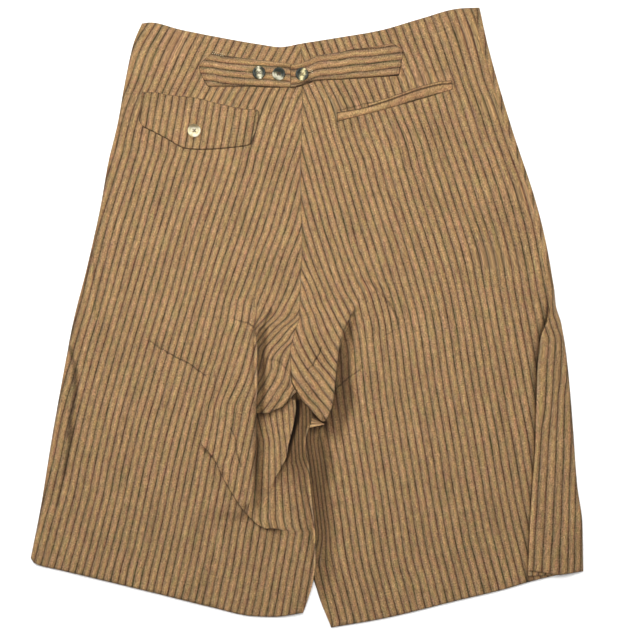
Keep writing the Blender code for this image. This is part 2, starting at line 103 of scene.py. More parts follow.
def mix(first, second, share):
    return first + (second - first) * share


def line(source, column="x", shift=0.0):
    # a table's column as a guide line for a grid
    return lambda where: read(source, column, where) + shift


def constant(value):
    return lambda where: np.full_like(where, value)


def linear(hexColour):
    # an sRGB hex colour as linear light
    parts = [int(hexColour[index:index + 2], 16) / 255 for index in (0, 2, 4)]
    parts = [part / 12.92 if part <= 0.04045 else ((part + 0.055) / 1.055) ** 2.4 for part in parts]
    return *parts, 1.0


def addNode(tree, kind, inputs=(), output=0, stops=(), **settings):
    # Adds a node and gives one of its outputs. Inputs are values or other nodes' outputs, in order or by
    # name; stops are the places and hex colours of a colour ramp.
    node = tree.nodes.new("ShaderNode" + kind)
    for name, value in settings.items():
        setattr(node, name, value)
    for key, value in inputs.items() if isinstance(inputs, dict) else enumerate(inputs):
        if isinstance(value, bpy.types.NodeSocket):
            tree.links.new(value, node.inputs[key])
        else:
            node.inputs[key].default_value = value
    if stops:
        elements = node.color_ramp.elements
        for element, (position, hexColour) in zip(elements, (stops[0], stops[-1])):
            element.position, element.color = position, linear(hexColour)
        for position, hexColour in stops[1:-1]:
            elements.new(position).color = linear(hexColour)
    return node.outputs[output]


def newMaterial(name, sockets):
    # the sockets hold what is the same all over the surface
    material = bpy.data.materials.new(name)
    material.use_nodes = True
    shader = material.node_tree.nodes["Principled BSDF"]
    for socket, value in sockets.items():
        shader.inputs[socket].default_value = value
    return material, material.node_tree, shader


def addPiece(name, points, faces, material, replaces=None):
    # a smooth mesh from points in millimetres; every piece rides on the shorts' one body
    mesh = bpy.data.meshes.new(name)
    mesh.from_pydata((points * mm).tolist(), [], faces)
    mesh.shade_smooth()
    mesh.materials.append(material)
    piece = bpy.data.objects.new(name, mesh)
    bpy.context.scene.collection.objects.link(piece)
    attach(piece, "root")
    if replaces:
        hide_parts(replaces)
    return piece


# The garment's measures, as in the part's source

walls = dict(seamGap=0.3, shell=0.7, trim=0.8, corner=0.4)
levels = dict(
    front=0.6, back=2.1, trimRise=1.6, puff=2.0, puffRamp=120.0, puffFoot=-340.0, quietReach=12.0)
# How far down a back turns at its sides and at its waist and hem, and from how far in. A front lies lower by
# its measure once it is frontReach from its sides.
curls = dict(side=0.75, sideReach=3.5, end=0.4, endReach=3.0, front=0.2, frontReach=4.0)

waist = table(
    "x y",
    (-187, 335), (-178, 336), (-144, 328), (-99, 319), (-53, 311), (-30, 308), (-6, 312), (38, 319),
    (84, 327), (129, 340), (175, 352), (197, 353))
hemLeft = table(
    "x y",
    (-314, -274), (-311, -279), (-305, -282), (-279, -288), (-176, -313), (-108, -330), (-62, -340),
    (-39, -341), (-4, -336))
hemRight = table(
    "x y",
    (28, -353), (86, -343), (177, -321), (223, -310), (257, -300), (287, -293), (315, -289))
sideLeft = table(
    "y x",
    (336, -187), (312, -197), (266, -207), (221, -215), (175, -226), (129, -234), (61, -249), (-7, -266),
    (-76, -279), (-144, -291), (-213, -302), (-274, -314))
sideRight = table(
    "y x",
    (353, 197), (312, 206), (221, 232), (129, 262), (84, 273), (31, 282), (13, 284), (-7, 290), (-53, 297),
    (-121, 303), (-190, 308), (-235, 314), (-289, 315))

# The centre-back seam, then each leg's inner edge. Turn is how far the left leg's edge rolls under itself,
# roll the length of the rolled part and width the strip that the roll takes up.
seam = table(
    "y x height",
    (312, -6, 0), (254, -5), (155, -7), (85, -5), (41, -7, 0.5), (1, -8, 3), (-15, -13, 6), (-37, -18, 8),
    (-71, -17, 9), (-84, -11, 8.5))
edgeLeft = table(
    "y x turn roll width",
    (312, -6, 0, 1, 5), (254, -5), (155, -7), (85, -5), (41, -7), (1, -8), (-15, -13), (-37, -18),
    (-71, -17.2), (-84, -11.5), (-89, -7, 40), (-95, 0, 130, 1, 6), (-104, 5.5, 180, 4, 7),
    (-112, 6.5, 180, 6, 8), (-120, 5, 180, 8, 10), (-128, 1.7, 180, 8, 11), (-141, -0.6, 180, 8, 12),
    (-165, 2.5, 180, 8, 14), (-208, 6), (-256, 10.3), (-276, 10.3), (-290, 9), (-306, 6), (-336, -4))
legEdgeHeight = table(
    "y height",
    (-84, 1.2), (-104, 1.2), (-116, 2), (-128, 3.6), (-150, 4.2), (-208, 4.2), (-276, 3.5), (-300, 3),
    (-336, 2))
edgeRight = table(
    "y x",
    (312, -6), (254, -5), (155, -7), (85, -5), (41, -7), (1, -8), (-15, -13), (-37, -18), (-71, -16.8),
    (-84, -10.8), (-100, -9), (-151, -6), (-208, -5), (-250, 0), (-276, 5), (-311, 12), (-353, 28))

# Folds that run down the garment: each is a double bend. x is the lip, angle how far the cloth has turned
# over, radius its roundness, overlap the length of the hidden layer, width the strip that it takes up. From
# the angle folds["turned"] on, a fold is shaded in full.
foldColumns = "y x angle radius overlap width"
thighFold = table(
    foldColumns,
    (293, -51, 0, 1.8, 1, 16), (134, -52), (43, -50), (10, -49), (1, -49, 20), (-6, -50, 90),
    (-14, -53.5, 155, 2, 3), (-23, -55.3, 180, 2, 8), (-32, -55.2, 180, 2, 10), (-69, -56, 180, 2, 12),
    (-80, -55.6), (-92, -57), (-133, -57), (-181, -58, 180, 2, 10), (-203, -58, 165, 1.8, 4),
    (-218, -60, 90, 1.8, 1), (-232, -62, 0), (-322, -64))
# Painted shade beside the thigh fold's lip: depth up to near, none past far, with a darker painted core
thighPaintedShade = table(
    "y depth near far core",
    (10, 0, 6, 10, 0), (-8, 0.15), (-14, 0.45, 8, 12, 0.2), (-25, 0.5, 9, 13, 0.3),
    (-35, 0.5, 8.5, 12.5, 0.4), (-44, 0.5, 7, 11, 1), (-53, 0.55, 7, 11.5), (-62, 0.58, 7.5, 12, 0.6),
    (-72, 0.55, 8, 12.5, 0.4), (-80, 0.55, 7, 11.5, 0.8), (-92, 0.5, 8, 12.5, 0.3), (-99, 0.52, 6, 11, 0.9),
    (-109, 0.58, 5.5, 10), (-118, 0.58, 4, 10, 0.6), (-135, 0.55, 3, 13, 0.1), (-180, 0.55, 3, 13, 0),
    (-220, 0.45))
# Painted shade in the slit beside the left leg's edge: how dark it is up to near, none past far; the painted
# shade (dim) on the cloth that it crosses and (trough) left of the leg's edge; and the painted highlight
# (rim) on that edge
gapShade = table(
    "y depth near far dim trough rim",
    (-90, 0.93, 3.5, 8, 0.58, 0, 0.3), (-112, 0.93, 3.5, 7, 0.56, 0, 1), (-125, 0.93, 3, 6.5, 0.56, 0, 1.5),
    (-140, 0.93, 2.5, 6, 0.56, 0, 1.3), (-152, 0.85, 2, 5, 0.55, 0, 0.9), (-160, 0.6, 1.5, 5, 0.54, 0, 0.5),
    (-168, 0.35, 1, 5, 0.5, 0, 0.6), (-180, 0.15, 1, 6, 0.4, 0.1, 0.5), (-195, 0.1, 1, 6, 0.26, 0.28, 0.36),
    (-210, 0.1, 1, 6, 0.12, 0.3, 0.32), (-226, 0.1, 1, 6, 0.03, 0.28, 0.6), (-245, 0.1, 1, 6, 0, 0.22),
    (-262, 0.1, 1, 6, 0, 0.05, 0.55), (-285, 0.1, 1, 6, 0, 0, 0.35))
gapFold = table(
    foldColumns,
    (312, -12, 0, 0.7, 0.4, 5), (155, -13), (41, -13), (-15, -19), (-37, -24), (-71, -23.5), (-84, -18),
    (-90, -13.5, 110, 0.9, 0.5, 7), (-95, -11.5, 180, 1.1, 3, 8), (-105, -12, 180, 1.1, 5), (-116, -13.5),
    (-132, -17), (-146, -20.5, 180, 1), (-157, -22, 180, 0.9, 4, 7), (-170, -27, 170, 0.8, 2),
    (-182, -32, 120, 0.8, 1), (-195, -36, 40), (-206, -39, 0), (-246, -43), (-341, -46))
tongueFold = table(
    foldColumns,
    (293, 76, 0, 2.2, 1, 16), (134, 72), (43, 68), (20, 66.5), (13, 64.5, 30), (6, 60.5, 90),
    (-2, 54, 145, 2.2, 2), (-14, 45.5, 175, 2.2, 5), (-29, 39.8, 180, 2.2, 8), (-47, 36, 180, 2.2, 10),
    (-66, 33, 180, 2.2, 12), (-84, 31.5, 180, 2.1), (-101, 29.3, 180, 1.9, 9, 14),
    (-112, 26, 175, 1.7, 6, 12.5), (-120, 22.5, 170, 1.5, 3, 12), (-130, 20.5, 150, 1.3, 1), (-151, 22, 0),
    (-231, 27), (-290, 38), (-345, 54))
# How far to the right of the tongue fold its painted shade is full, and how dark it is
tongueShade = table(
    "y reach depth",
    (8, 0.5, 0), (0, 1, 0.15), (-8, 3, 0.35), (-17, 7, 0.48), (-37, 11, 0.52), (-70, 15, 0.56), (-94, 18),
    (-112, 18, 0.52), (-135, 16, 0.42), (-165, 14, 0.35))
# The painted shade beside the left leg's edge is full up to near, and gone past far
legShade = table(
    "y near far",
    (-128, 14, 30), (-155, 19, 35), (-175, 17, 32), (-200, 13, 28), (-230, 11, 27))
sidePleat = table(
    foldColumns,
    (353, 187, 0, 0.7, 0.5, 5.5), (312, 197), (221, 223), (134, 253), (84, 265), (45, 273), (31, 275, 20),
    (3, 274, 120, 0.8, 1, 6), (-22, 266.5, 180, 1, 3), (-51, 263, 180, 1.1, 5, 7.5),
    (-94, 261.6, 180, 1.1, 8, 10.5), (-152, 260, 180, 1, 14, 16), (-193, 257, 180, 1, 18, 20),
    (-231, 254.8, 180, 1, 24, 26), (-266, 253.4, 180, 1, 30, 32), (-302, 252, 180, 1, 32, 34))
folds = dict(thighReach=60.0, gapReach=24.0, kneeReach=26.0, pleatHemRise=14.0, pleatHemStart=-150.0,
             innerEdgeRadius=1.0, innerEdgeReach=26.0, lobeLow=2.4, nearLobe=11.0, aboveKneeShift=0.26,
             slantShift=0.45, closerReach=18.0, turned=150.0)

# Folds that run across: the lower edges of the crotch tongue's two lobes, and the fold at the left knee
lobeLeft = table(
    "x y radius width",
    (-314, -111, 0.6, 12), (-60, -111), (-53, -111.5, 0.7), (-44, -111, 0.9), (-36, -107, 1.1),
    (-27, -103, 1.3), (-21, -96.5, 1.5), (-14, -88, 1.8), (-8, -84), (10, -84))
lobeRight = table(
    "x y angle radius width",
    (-30, -84, 180, 1.8, 12), (-11, -85.5, 180, 1.9), (-5, -94.6, 180, 1.8), (3, -104, 180, 1.7),
    (11, -113, 180, 1.5), (17, -119, 170, 1.3, 11), (22, -123, 120, 1.1), (30, -125, 0), (60, -125),
    (320, -125))
kneeFold = table(
    "x y angle radius width",
    (-314, -146, 0, 0.7, 8), (-125, -146), (-115, -152, 90), (-105, -160, 180, 0.8), (-93, -184, 180, 0.9),
    (-75, -213), (-61, -231), (-50, -239, 180, 0.7), (-38, -243, 120, 0.6), (-24, -246, 30), (-7, -246, 0),
    (12, -246))

# Where the stripes run. The columns are a few of the stripes, named by their numbers; the others lie evenly
# between them. Each field is one stretch of cloth that lies in one piece.
stripePeriod = 8.3
bodyLeftStripes = (0, 6, 12, 18, 24, 30, 36), table(
    "y a b c d e f g",
    (340, -141.6, -87.6, -33.6, 21.4, 76.4, 129.4, 181.4),
    (305, -161.1, -105.1, -51.6, 3.4, 56.4, 109.4, 161.4),
    (270, -175.1, -123.1, -69.6, -16.6, 35.4, 87.4, 139.4),
    (237, -188.6, -138.6, -86.6, -31.6, 20.4, 71.4, 122.4),
    (168, -207.1, -156.6, -104.1, -52.6, -4.6, 44.4, 93.4),
    (100, -228.1, -176.1, -126.6, -74.6, -24.1, 26.4, 77.4),
    (31, -246.1, -196.1, -145.1, -97.6, -48.1, 3.4, 55.4),
    (-37, -265.1, -216.1, -165.6, -115.6, -67.6, -17.6, 33.4),
    (-105, -284.6, -234.6, -185.6, -135.1, -90.6, -40.1, 10.9),
    (-174, -299.1, -250.6, -201.6, -152.1, -103.1, -56.1, -9.1),
    (-242, -317.1, -266.6, -216.6, -166.1, -117.1, -69.1, -20.1),
    (-311, -335.1, -286.1, -234.1, -182.1, -132.1, -81.1, -32.1),
    (-345, -344.1, -295.1, -243.1, -190.1, -140.1, -89.1, -38.1))
tongueLeftStripes = (24, 26, 28, 30, 32, 34, 36), table(
    "y a b c d e f g",
    (100, -25.5, -8.5, 8.5, 25, 42, 59, 76), (66, -37, -20, -3, 14, 31, 47.5, 64),
    (29, -50, -32.5, -16, 1, 18, 35, 52), (15, -56, -38, -23, -5, 12, 29, 46),
    (2, -60, -45, -30, -11.5, 3, 19, 35), (-12, -69, -57, -44.5, -27, -12, 1, 13),
    (-26, -76, -65.5, -54.5, -40, -21, -8.5, 4), (-37, -83, -72, -62, -48, -32, -17, -5),
    (-48, -84, -73, -62, -51, -39, -20, -7.5), (-58, -86, -75, -64, -53, -40, -23, -11),
    (-67, -90, -79, -68, -57, -44, -25, -12), (-76, -95, -84, -73, -62, -49, -29.5, -11.5),
    (-85, -103, -91, -79, -67, -55, -35, -16.5), (-94, -110, -98, -86, -74, -61, -40.5, -21),
    (-103, -118, -106, -93, -80, -67, -47, -28), (-117, -130, -117, -105, -92, -80, -58, -37))
thighStripes = (35, 38, 41), table(
    "y a b c",
    (-60, -50, -25, -10), (-80, -47, -23, -7), (-108, -42, -20, -3), (-126, -39, -19, -2),
    (-144, -36, -17, -1), (-190, -35.5, -13, 5), (-226, -35, -8.5, 14), (-246, -31, -5, 18))
bodyRightStripes = (-4, 4, 10, 16, 22, 28), table(
    "y a b c d e f",
    (355, -135, -57, -2, 53, 109, 167), (319, -113, -41, 13, 66.5, 122, 180),
    (271, -82, -16, 31, 86, 141, 193.5), (237, -68, -2, 47, 97.5, 151, 206),
    (202, -57, 8.5, 56.5, 111.5, 162.5, 217), (134, -38, 27, 78, 131.5, 185, 241),
    (66, -19, 46.5, 100, 153, 206, 257), (31, -6, 64, 110, 162.5, 211.5, 263),
    (-3, 5, 72.5, 119, 169.5, 217.5, 270), (-71, 15, 81.5, 129.5, 179.5, 230.5, 282),
    (-140, 24.5, 90.5, 141, 192, 243.5, 295), (-208, 36, 102, 152, 203.5, 255, 306),
    (-276, 46, 112.5, 166, 219, 270, 322), (-345, 63, 131, 184, 238, 290, 342))
tongueRightStripes = (-10, -7, -4, -1, 2, 5), table(
    "y a b c d e f",
    (134, -91, -65.5, -40, -14.5, 11, 35), (66, -70, -44.5, -19, 6, 31.5, 55.5),
    (31, -53, -27, -1.5, 20, 43.5, 72), (15, -46, -21, 3.5, 26, 53, 78), (2, -38, -14, 9, 32.5, 59, 90),
    (-10, -38, -12.5, 12.5, 39, 66, 97), (-23, -34, -8.5, 18, 46.5, 75, 105),
    (-37, -30, -2.5, 25, 56, 86, 116), (-51, -22, 5, 34, 64, 94, 124),
    (-64, -16.5, 15.5, 45.5, 76, 106, 136), (-78, -7, 26, 58.5, 89, 119, 149),
    (-92, 3.5, 36.5, 69, 101, 131, 161), (-105, 15.5, 46, 77, 108, 139, 170),
    (-119, 23.5, 54, 85, 116, 147, 178))
pleatStripes = (27, 28, 30, 32, 34), table(
    "y a b c d e",
    (60, 249, 258, 275, 291, 307), (31, 254, 263, 280, 296, 312), (9, 259.5, 267.5, 280, 294, 308),
    (-9, 261.5, 271, 284.5, 299, 314), (-26, 265, 275.5, 290, 306, 322), (-60, 261.5, 273, 289, 305, 321),
    (-94, 260, 272, 286, 301, 316), (-128, 259, 267.5, 284.5, 301.5, 318), (-197, 254, 263, 282, 299, 314),
    (-282, 249, 258, 277.5, 297, 312), (-310, 248, 257, 276, 296, 311))
frontStripes = (0, 20, 40), table(
    "y a b c",
    (350, -160, 0, 160), (0, -168, 0, 168), (-350, -178, 0, 178))

# Small pulls of the weave: about (x, y) the stripes stand to the right by shift, dying away over wide
# and tall
pulls = records(
    "x y wide tall shift",
    (-161, 189, 50, 13, 1.8), (-64, 185, 20, 12, -1), (-241, 159, 20, 14, -0.9), (-260, 22, 22, 26, 1.2),
    (-72, 17, 22, 12, -1.7), (-80, -9, 20, 9, 1.2), (-69, -65, 13, 22, 2.4), (-116, -69, 16, 20, -1.1),
    (-167, -87, 45, 26, 0.8), (-90, -100, 22, 13, -2.2), (-264, -88, 14, 30, 1), (-92, -167, 16, 12, -2.3),
    (-241, -202, 36, 26, 1.4), (-201, -286, 26, 16, -0.9), (-93, -276, 36, 22, 0.7), (48, 47, 26, 11, -1.6),
    (79, 40, 20, 10, -1.4), (46, -37, 16, 26, 3), (79, -7, 14, 12, 1.3), (107, -85, 26, 30, -1),
    (68, 177, 24, 16, 1.6), (130, 174, 26, 14, -1.2), (48, 218, 30, 14, -1.1), (61, -157, 34, 34, 0.8),
    (182, -254, 34, 20, -1), (254, -259, 20, 26, 1), (124, -301, 26, 14, 1.2), (264, 177, 14, 20, 1.4))

# Creases pressed into the cloth by hand: a segment from (x, y) to (toX, toY), a soft ridge where rise is
# above 0 and a trough where it is below. Dark is how strongly a thin shadow line follows the crease; the
# material draws it, since the grid is too coarse for it.
creases = records(
    "x y toX toY rise width dark spread",
    (-181, -25.5, -160, -39, -0.8, 3, 0.5), (-160, -39, -138, -50, -0.9, 3, 0.68),
    (-138, -50, -114, -66, -0.8, 3, 0.6), (-177, -19, -116, -58, 0.6, 4),
    (-127, 1, -80, -1.5, -0.4, 3, 0.22, 1.5), (-103.5, -56, -105.5, -98, -0.4, 3, 0.32, 1.2),
    (-32, 73, -24, 40, -0.4, 3, 0.22, 1.3), (-86, -125, -81, -135, -0.8, 3, 0.6),
    (-81, -135, -79, -153, -0.8, 3, 0.55), (-79, -153, -74, -169, -0.8, 3, 0.6),
    (-90, -122, -83, -160, 0.8, 4), (-30, -244, -5, -240, 0.8, 5),
    (-48, -47, -32, -49, -0.5, 2.5, 0.3, 2.4), (-32, -49, -20, -61, -0.8, 2.5, 0.4, 2),
    (17, -33, 13, -43, -1, 3, 0.75), (13, -43, 7, -54, -1, 3, 0.75), (7, -54, 1, -61, -0.7, 3, 0.5),
    (24, -40, 13, -57, 1.4, 4), (62, -59, 46, -70, -0.7, 3, 0.5), (46, -70, 33, -82, -0.7, 3, 0.6),
    (-80, -2, -66, -6, -0.7, 3, 0.5), (-66, -6, -59, -11, -0.5, 3, 0.6), (-80, 2, -62, -1, 0.5, 3),
    (36, 235.3, 72, 244.5, -0.3, 2, 0.5, 1.2), (68, 42, 85, 28.5, -0.7, 3.5, 0.3, 1.8),
    (85, 28.5, 98, 10.5, -1.1, 3.5, 0.55, 2.8), (98, 10.5, 107, -9, -0.9, 3.5, 0.5, 2.2),
    (107, -12, 86, -21, -0.5, 3, 0.32, 1.5), (182, 3, 214, -1, -0.4, 3, 0.18, 1.5),
    (-40, 10, -50, -13, -1, 3, 0.6, 3.2), (-269, -33, -264, -58, -1.6, 3.5, 0.55, 3.8),
    (-264, -58, -263, -84, -1.7, 3.5, 0.68, 5.4), (-263, -84, -268, -112, -1.8, 3.5, 0.68, 6),
    (-268, -112, -270, -145, -1.8, 3.5, 0.68, 6), (-270, -145, -277, -180, -1.6, 3.5, 0.65, 5.4),
    (-277, -180, -284, -214, -1, 4, 0.4, 3.6), (-256, -50, -261, -180, 0.8, 5),
    (-243, 74, -240, 8, -0.5, 3, 0.35), (-50, 6, -38, 40, -1.2, 5), (70, 48, 52, 12, -0.8, 4),
    (140, 190, 170, 60, -0.6, 9), (-150, 150, -170, 40, -0.5, 9), (60, 200, 40, 110, -0.7, 7),
    (-200, -90, -225, -240, 0.7, 12), (150, -60, 185, -250, 0.7, 14), (95, -120, 120, -300, -0.6, 12),
    (280, -40, 286, -120, -0.7, 4))
wavesOfCloth = records(
    "height acrossLength alongLength turn",
    (0.28, 71, 113, 0.4), (0.2, 43, 90, 2.1), (0.14, 27, 61, 4.4), (0.3, 131, 67, 1.2))


# Folded cloth

def doubleBend(part, share, fold):
    # Cloth that runs straight, bends over on an arc, runs back as a hidden layer, bends the other way on
    # the same arc and runs on. Gives how far along and down it has gone, and its length from each end.
    angle = np.maximum(np.radians(fold["angle"]), 0.001)
    bend = math.pi * fold["radius"]
    arc = bend / angle
    sine, cosine = np.sin(angle), np.cos(angle)
    drop = 2 * arc * (1 - cosine) + fold["overlap"] * sine
    across = 2 * arc * sine + fold["overlap"] * cosine
    lead = (fold["width"] - across) / 2
    bendEnd, bendDrop = lead + arc * sine, arc * (1 - cosine)
    hiddenEnd, hiddenDrop = bendEnd + fold["overlap"] * cosine, bendDrop + fold["overlap"] * sine
    over, back = angle * share, angle * (1 - share)
    where = [part == 0, part == 1, part == 2, part == 3]
    along = np.select(where, [
        lead * share, lead + arc * np.sin(over), bendEnd + fold["overlap"] * cosine * share,
        hiddenEnd + arc * (sine - np.sin(back))], fold["width"] - lead * (1 - share))
    down = np.select(where, [
        np.zeros_like(lead), arc * (1 - np.cos(over)), bendDrop + fold["overlap"] * sine * share,
        hiddenDrop + arc * (np.cos(back) - cosine)], drop)
    length = np.select(where, [
        lead * share, lead + bend * share, lead + bend + fold["overlap"] * share,
        lead + bend + fold["overlap"] + bend * share], lead + 2 * bend + fold["overlap"] + lead * share)
    total = 2 * lead + 2 * bend + fold["overlap"]
    return dict(along=along, down=down, drop=drop, fromStart=length, toEnd=total - length)


def rolledEdge(part, share, edge):
    # Cloth that runs out to an edge, bends over on an arc and runs back under itself: how far along and
    # down it has gone
    angle = np.maximum(np.radians(edge["turn"]), 0.001)
    arc = math.pi * folds["innerEdgeRadius"] / angle
    reach = arc * np.sin(np.minimum(angle, math.pi / 2))
    returned = np.where(angle < math.pi / 2, edge["roll"] * np.cos(angle), 0.0)
    lead = edge["width"] - reach - returned
    over = angle * share
    where = [part == 0, part == 1]
    along = np.select(
        where, [lead * share, lead + arc * np.sin(over)],
        lead + arc * np.sin(angle) + edge["roll"] * np.cos(angle) * share)
    down = np.select(
        where, [np.zeros_like(lead), arc * (1 - np.cos(over))],
        arc * (1 - np.cos(angle)) + edge["roll"] * np.sin(angle) * share)
    return along, down


def foldAt(source, where, angleShare=1.0):
    # a fold's measures at any place; where its table gives no overlap, the hidden layer fills the strip
    fold = {name: read(source, name, where) for name in source if name not in ("key", "x", "y", "angle")}
    fold["angle"] = (read(source, "angle", where) if "angle" in source else 180.0) * angleShare
    if "overlap" not in source:
        room = fold["width"] - 2 * fold["radius"]
        fold["overlap"] = mix(0.5, np.minimum(room, 5.0), between(fold["angle"], 120.0, 180.0))
    return fold


def dropOf(source, where, angleShare=1.0):
    # how far down the whole fold takes the cloth
    return doubleBend(np.array(4), np.array(1.0), foldAt(source, where, angleShare))["drop"]


def shareDown(shape):
    return shape["down"] / np.maximum(shape["drop"], 0.01)


def edgeOf(source, column="x", side=-1):
    # the line where a fold's strip starts, or with side 1 where it ends
    return lambda where: read(source, column, where) + side * read(source, "width", where)


def stations(*counts):
    # the part of the fold that each grid line is in, and how far through that part it lies
    part = np.repeat(np.arange(len(counts)), counts)
    return part, np.concatenate([np.arange(1, count + 1) / count for count in counts])


def bendStations(lead, bend, hidden):
    return stations(lead, bend, hidden, bend, lead)


def crossStations(lead, bend, hidden):
    # the same down the rows of a fold that runs across
    part, share = bendStations(lead, bend, hidden)
    return part[:, None], share[:, None]


def evenSteps(bend):
    # where the rows of such a fold lie in columns that it doesn't reach
    count = len(bend[0])
    return np.arange(1, count + 1)[:, None] / count


def hiddenShare(bend):
    # 0 on the upper layer and 1 on the lower, changing along the hidden one
    part, share = bend
    return np.where(part == 2, share, (part > 2).astype(float))


def plainBlock(low, high, count, first=False, down=False):
    # Grid lines that lie evenly between two guide lines. The first guide belongs to the block before it,
    # unless it is the panel's own edge.
    shares = np.arange(0 if first else 1, count + 1) / count
    if down:
        shares = shares[:, None]
    return dict(size=len(shares), place=lambda where: mix(low(where), high(where), shares))


def foldBlock(source, bend, mirrored=False):
    # grid lines through a fold that runs down the garment
    part, share = bend

    def place(y):
        along = doubleBend(part, share, foldAt(source, y))["along"]
        if mirrored:
            return edgeOf(source, side=1)(y) - along
        return edgeOf(source)(y) + along
    return dict(size=len(share), place=place)


def crossBlock(source, bend, weight):
    # a fold across: weight says in which columns the cloth is folded, and elsewhere its rows lie evenly
    def place(x):
        along = doubleBend(*bend, foldAt(source, x))["along"]
        return edgeOf(source, "y", 1)(x) - mix(read(source, "width", x) * evenSteps(bend), along, weight)
    return dict(size=len(bend[0]), place=place)


def layGrid(columns, rows, top, foot):
    # The grid's columns follow the folds down the garment and its rows those across it: x is worked out
    # from y and y from x in turn until they agree
    ends = np.cumsum([0] + [block["size"] for block in columns])
    tops = np.cumsum([0] + [block["size"] for block in rows])
    y = np.repeat(np.linspace(top, foot, tops[-1])[:, None], ends[-1], axis=1)
    x = np.zeros_like(y)
    for _ in range(9):
        for index, block in enumerate(columns):
            span = slice(ends[index], ends[index + 1])
            x[:, span] = block["place"](y[:, span])
        for index, block in enumerate(rows):
            span = slice(tops[index], tops[index + 1])
            y[span] = block["place"](x[span])
    return x, y, ends, tops


def through(whole, edges, index, inside):
    # 0 before a block of grid lines, 1 after it, and the given values inside it
    whole[edges[index + 1]:] = 1.0
    whole[edges[index]:edges[index + 1]] = inside
    return whole


def stripeNumber(field, x, y):
    # Which stripe passes through (x, y): between two guide stripes the number rises evenly, and past the
    # first and the last it goes on at the same pace
    numbers, guides = field
    lines = [read(guides, name, y) for name in guides if name not in ("y", "key")]
    last = len(lines) - 2
    total = np.zeros_like(x)
    for index in range(last + 1):
        share = (x - lines[index]) / (lines[index + 1] - lines[index])
        bottom, top = -50.0 if index == 0 else 0.0, 50.0 if index == last else 1.0
        total += np.clip(share, bottom, top) * (numbers[index + 1] - numbers[index])
    return numbers[0] + total


def alongStripe(field, x, y):
    # distance along the stripes, counted in stripe widths, from how they lean over a short step
    step = 4.0
    rise = stripeNumber(field, x, y + step) - stripeNumber(field, x, y - step)
    run = stripeNumber(field, x + step, y) - stripeNumber(field, x - step, y)
    lean = np.arctan(np.clip(-rise / run, -1.4, 1.4))
    return (y * np.cos(lean) + x * np.sin(lean)) / stripePeriod


def backPuff(x, y):
    # a low even crown that dies away at the outline
    left, right = read(sideLeft, "x", y), read(sideRight, "x", y)
    across = np.clip((2 * x - left - right) / (right - left), -1.0, 1.0)
    top = smooth((read(waist, "y", x) - y) / levels["puffRamp"])
    foot = smooth((y - levels["puffFoot"]) / levels["puffRamp"])
    return levels["puff"] * (1 - across ** 4) * top * foot


def creaseHeight(x, y):
    # each crease is a bell across its segment that tapers off past both ends
    total = np.zeros_like(x)
    for crease in creases:
        dx, dy = crease["toX"] - crease["x"], crease["toY"] - crease["y"]
        length = math.hypot(dx, dy)
        along = ((x - crease["x"]) * dx + (y - crease["y"]) * dy) / length ** 2
        across = ((x - crease["x"]) * dy - (y - crease["y"]) * dx) / length
        taper = between(along, -0.15, 0.2) * between(along, 1.15, 0.8)
        total += crease["rise"] * bell(across, 0.0, crease["width"]) * taper
    return total


def clothWaves(x, y):
    # the slight unevenness of cloth laid by hand: a few long waves, bent a little, added together
    total = np.zeros_like(x)
    for wave in wavesOfCloth:
        bent = x + 18.0 * np.sin(y / 83.0 + wave["turn"])
        across = np.sin(2 * math.pi * bent / wave["acrossLength"] + wave["turn"])
        total += wave["height"] * across * np.cos(2 * math.pi * y / wave["alongLength"] + 2 * wave["turn"])
    return total


def pulledWeave(x, y):
    # how many stripes to the right the pulls move the weave
    total = np.zeros_like(x)
    for pull in pulls:
        total += pull["shift"] * bell(x, pull["x"], pull["wide"]) * bell(y, pull["y"], pull["tall"])
    return total / stripePeriod


def lieOfBack(x, y, quiet=1.0):
    # the back's middle surface where it has no folds; quiet is where the waves die away
    return levels["back"] + backPuff(x, y) + creaseHeight(x, y) + clothWaves(x, y) * quiet


def quietEdge(x, y, hem):
    # the waves die away at the outline
    side = np.minimum(x - read(sideLeft, "x", y), read(sideRight, "x", y) - x)
    ends = np.minimum(read(waist, "y", x) - y, y - read(hem, "y", x))
    return smooth(np.minimum(side, ends) / levels["quietReach"])


def edgeCurl(fromSide, hem, x, y):
    # the cloth turns down a little at its side seam, waist and hem
    ends = np.minimum(read(waist, "y", x) - y, y - read(hem, "y", x))
    atEnds = curls["end"] * between(ends, curls["endReach"], 0.0) * smooth(fromSide / 2.0)
    return curls["side"] * between(fromSide, curls["sideReach"], 0.0) + atEnds


def makeCloth(name, x, y, z, stripe, along, shade, material, replaces, wall="shell"):
    # the grid becomes a walled mesh, with its stripes as a UV map and its painted shade and painted
    # highlights as an attribute
    rows, count = x.shape
    points = np.stack((x, y, z), axis=-1).reshape(-1, 3)
    corner = (np.arange(rows - 1)[:, None] * count + np.arange(count - 1)).ravel()
    faces = np.stack((corner, corner + count, corner + count + 1, corner + 1), axis=-1)
    piece = addPiece(name, points, faces.tolist(), material, replaces)
    mesh = piece.data
    place = np.empty(len(mesh.loops), dtype=np.int32)
    mesh.loops.foreach_get("vertex_index", place)
    stripes = np.stack((stripe.ravel()[place], along.ravel()[place]), axis=-1)
    mesh.uv_layers.new(name="stripes").data.foreach_set("uv", stripes.astype(np.float32).ravel())
    shades = mesh.attributes.new("shade", "FLOAT", "POINT")
    shades.data.foreach_set("value", shade.astype(np.float32).ravel())
    solidify = piece.modifiers.new("wall", "SOLIDIFY")
    solidify.thickness = walls[wall] * mm
    solidify.offset = 0.0
    return piece


# Linen

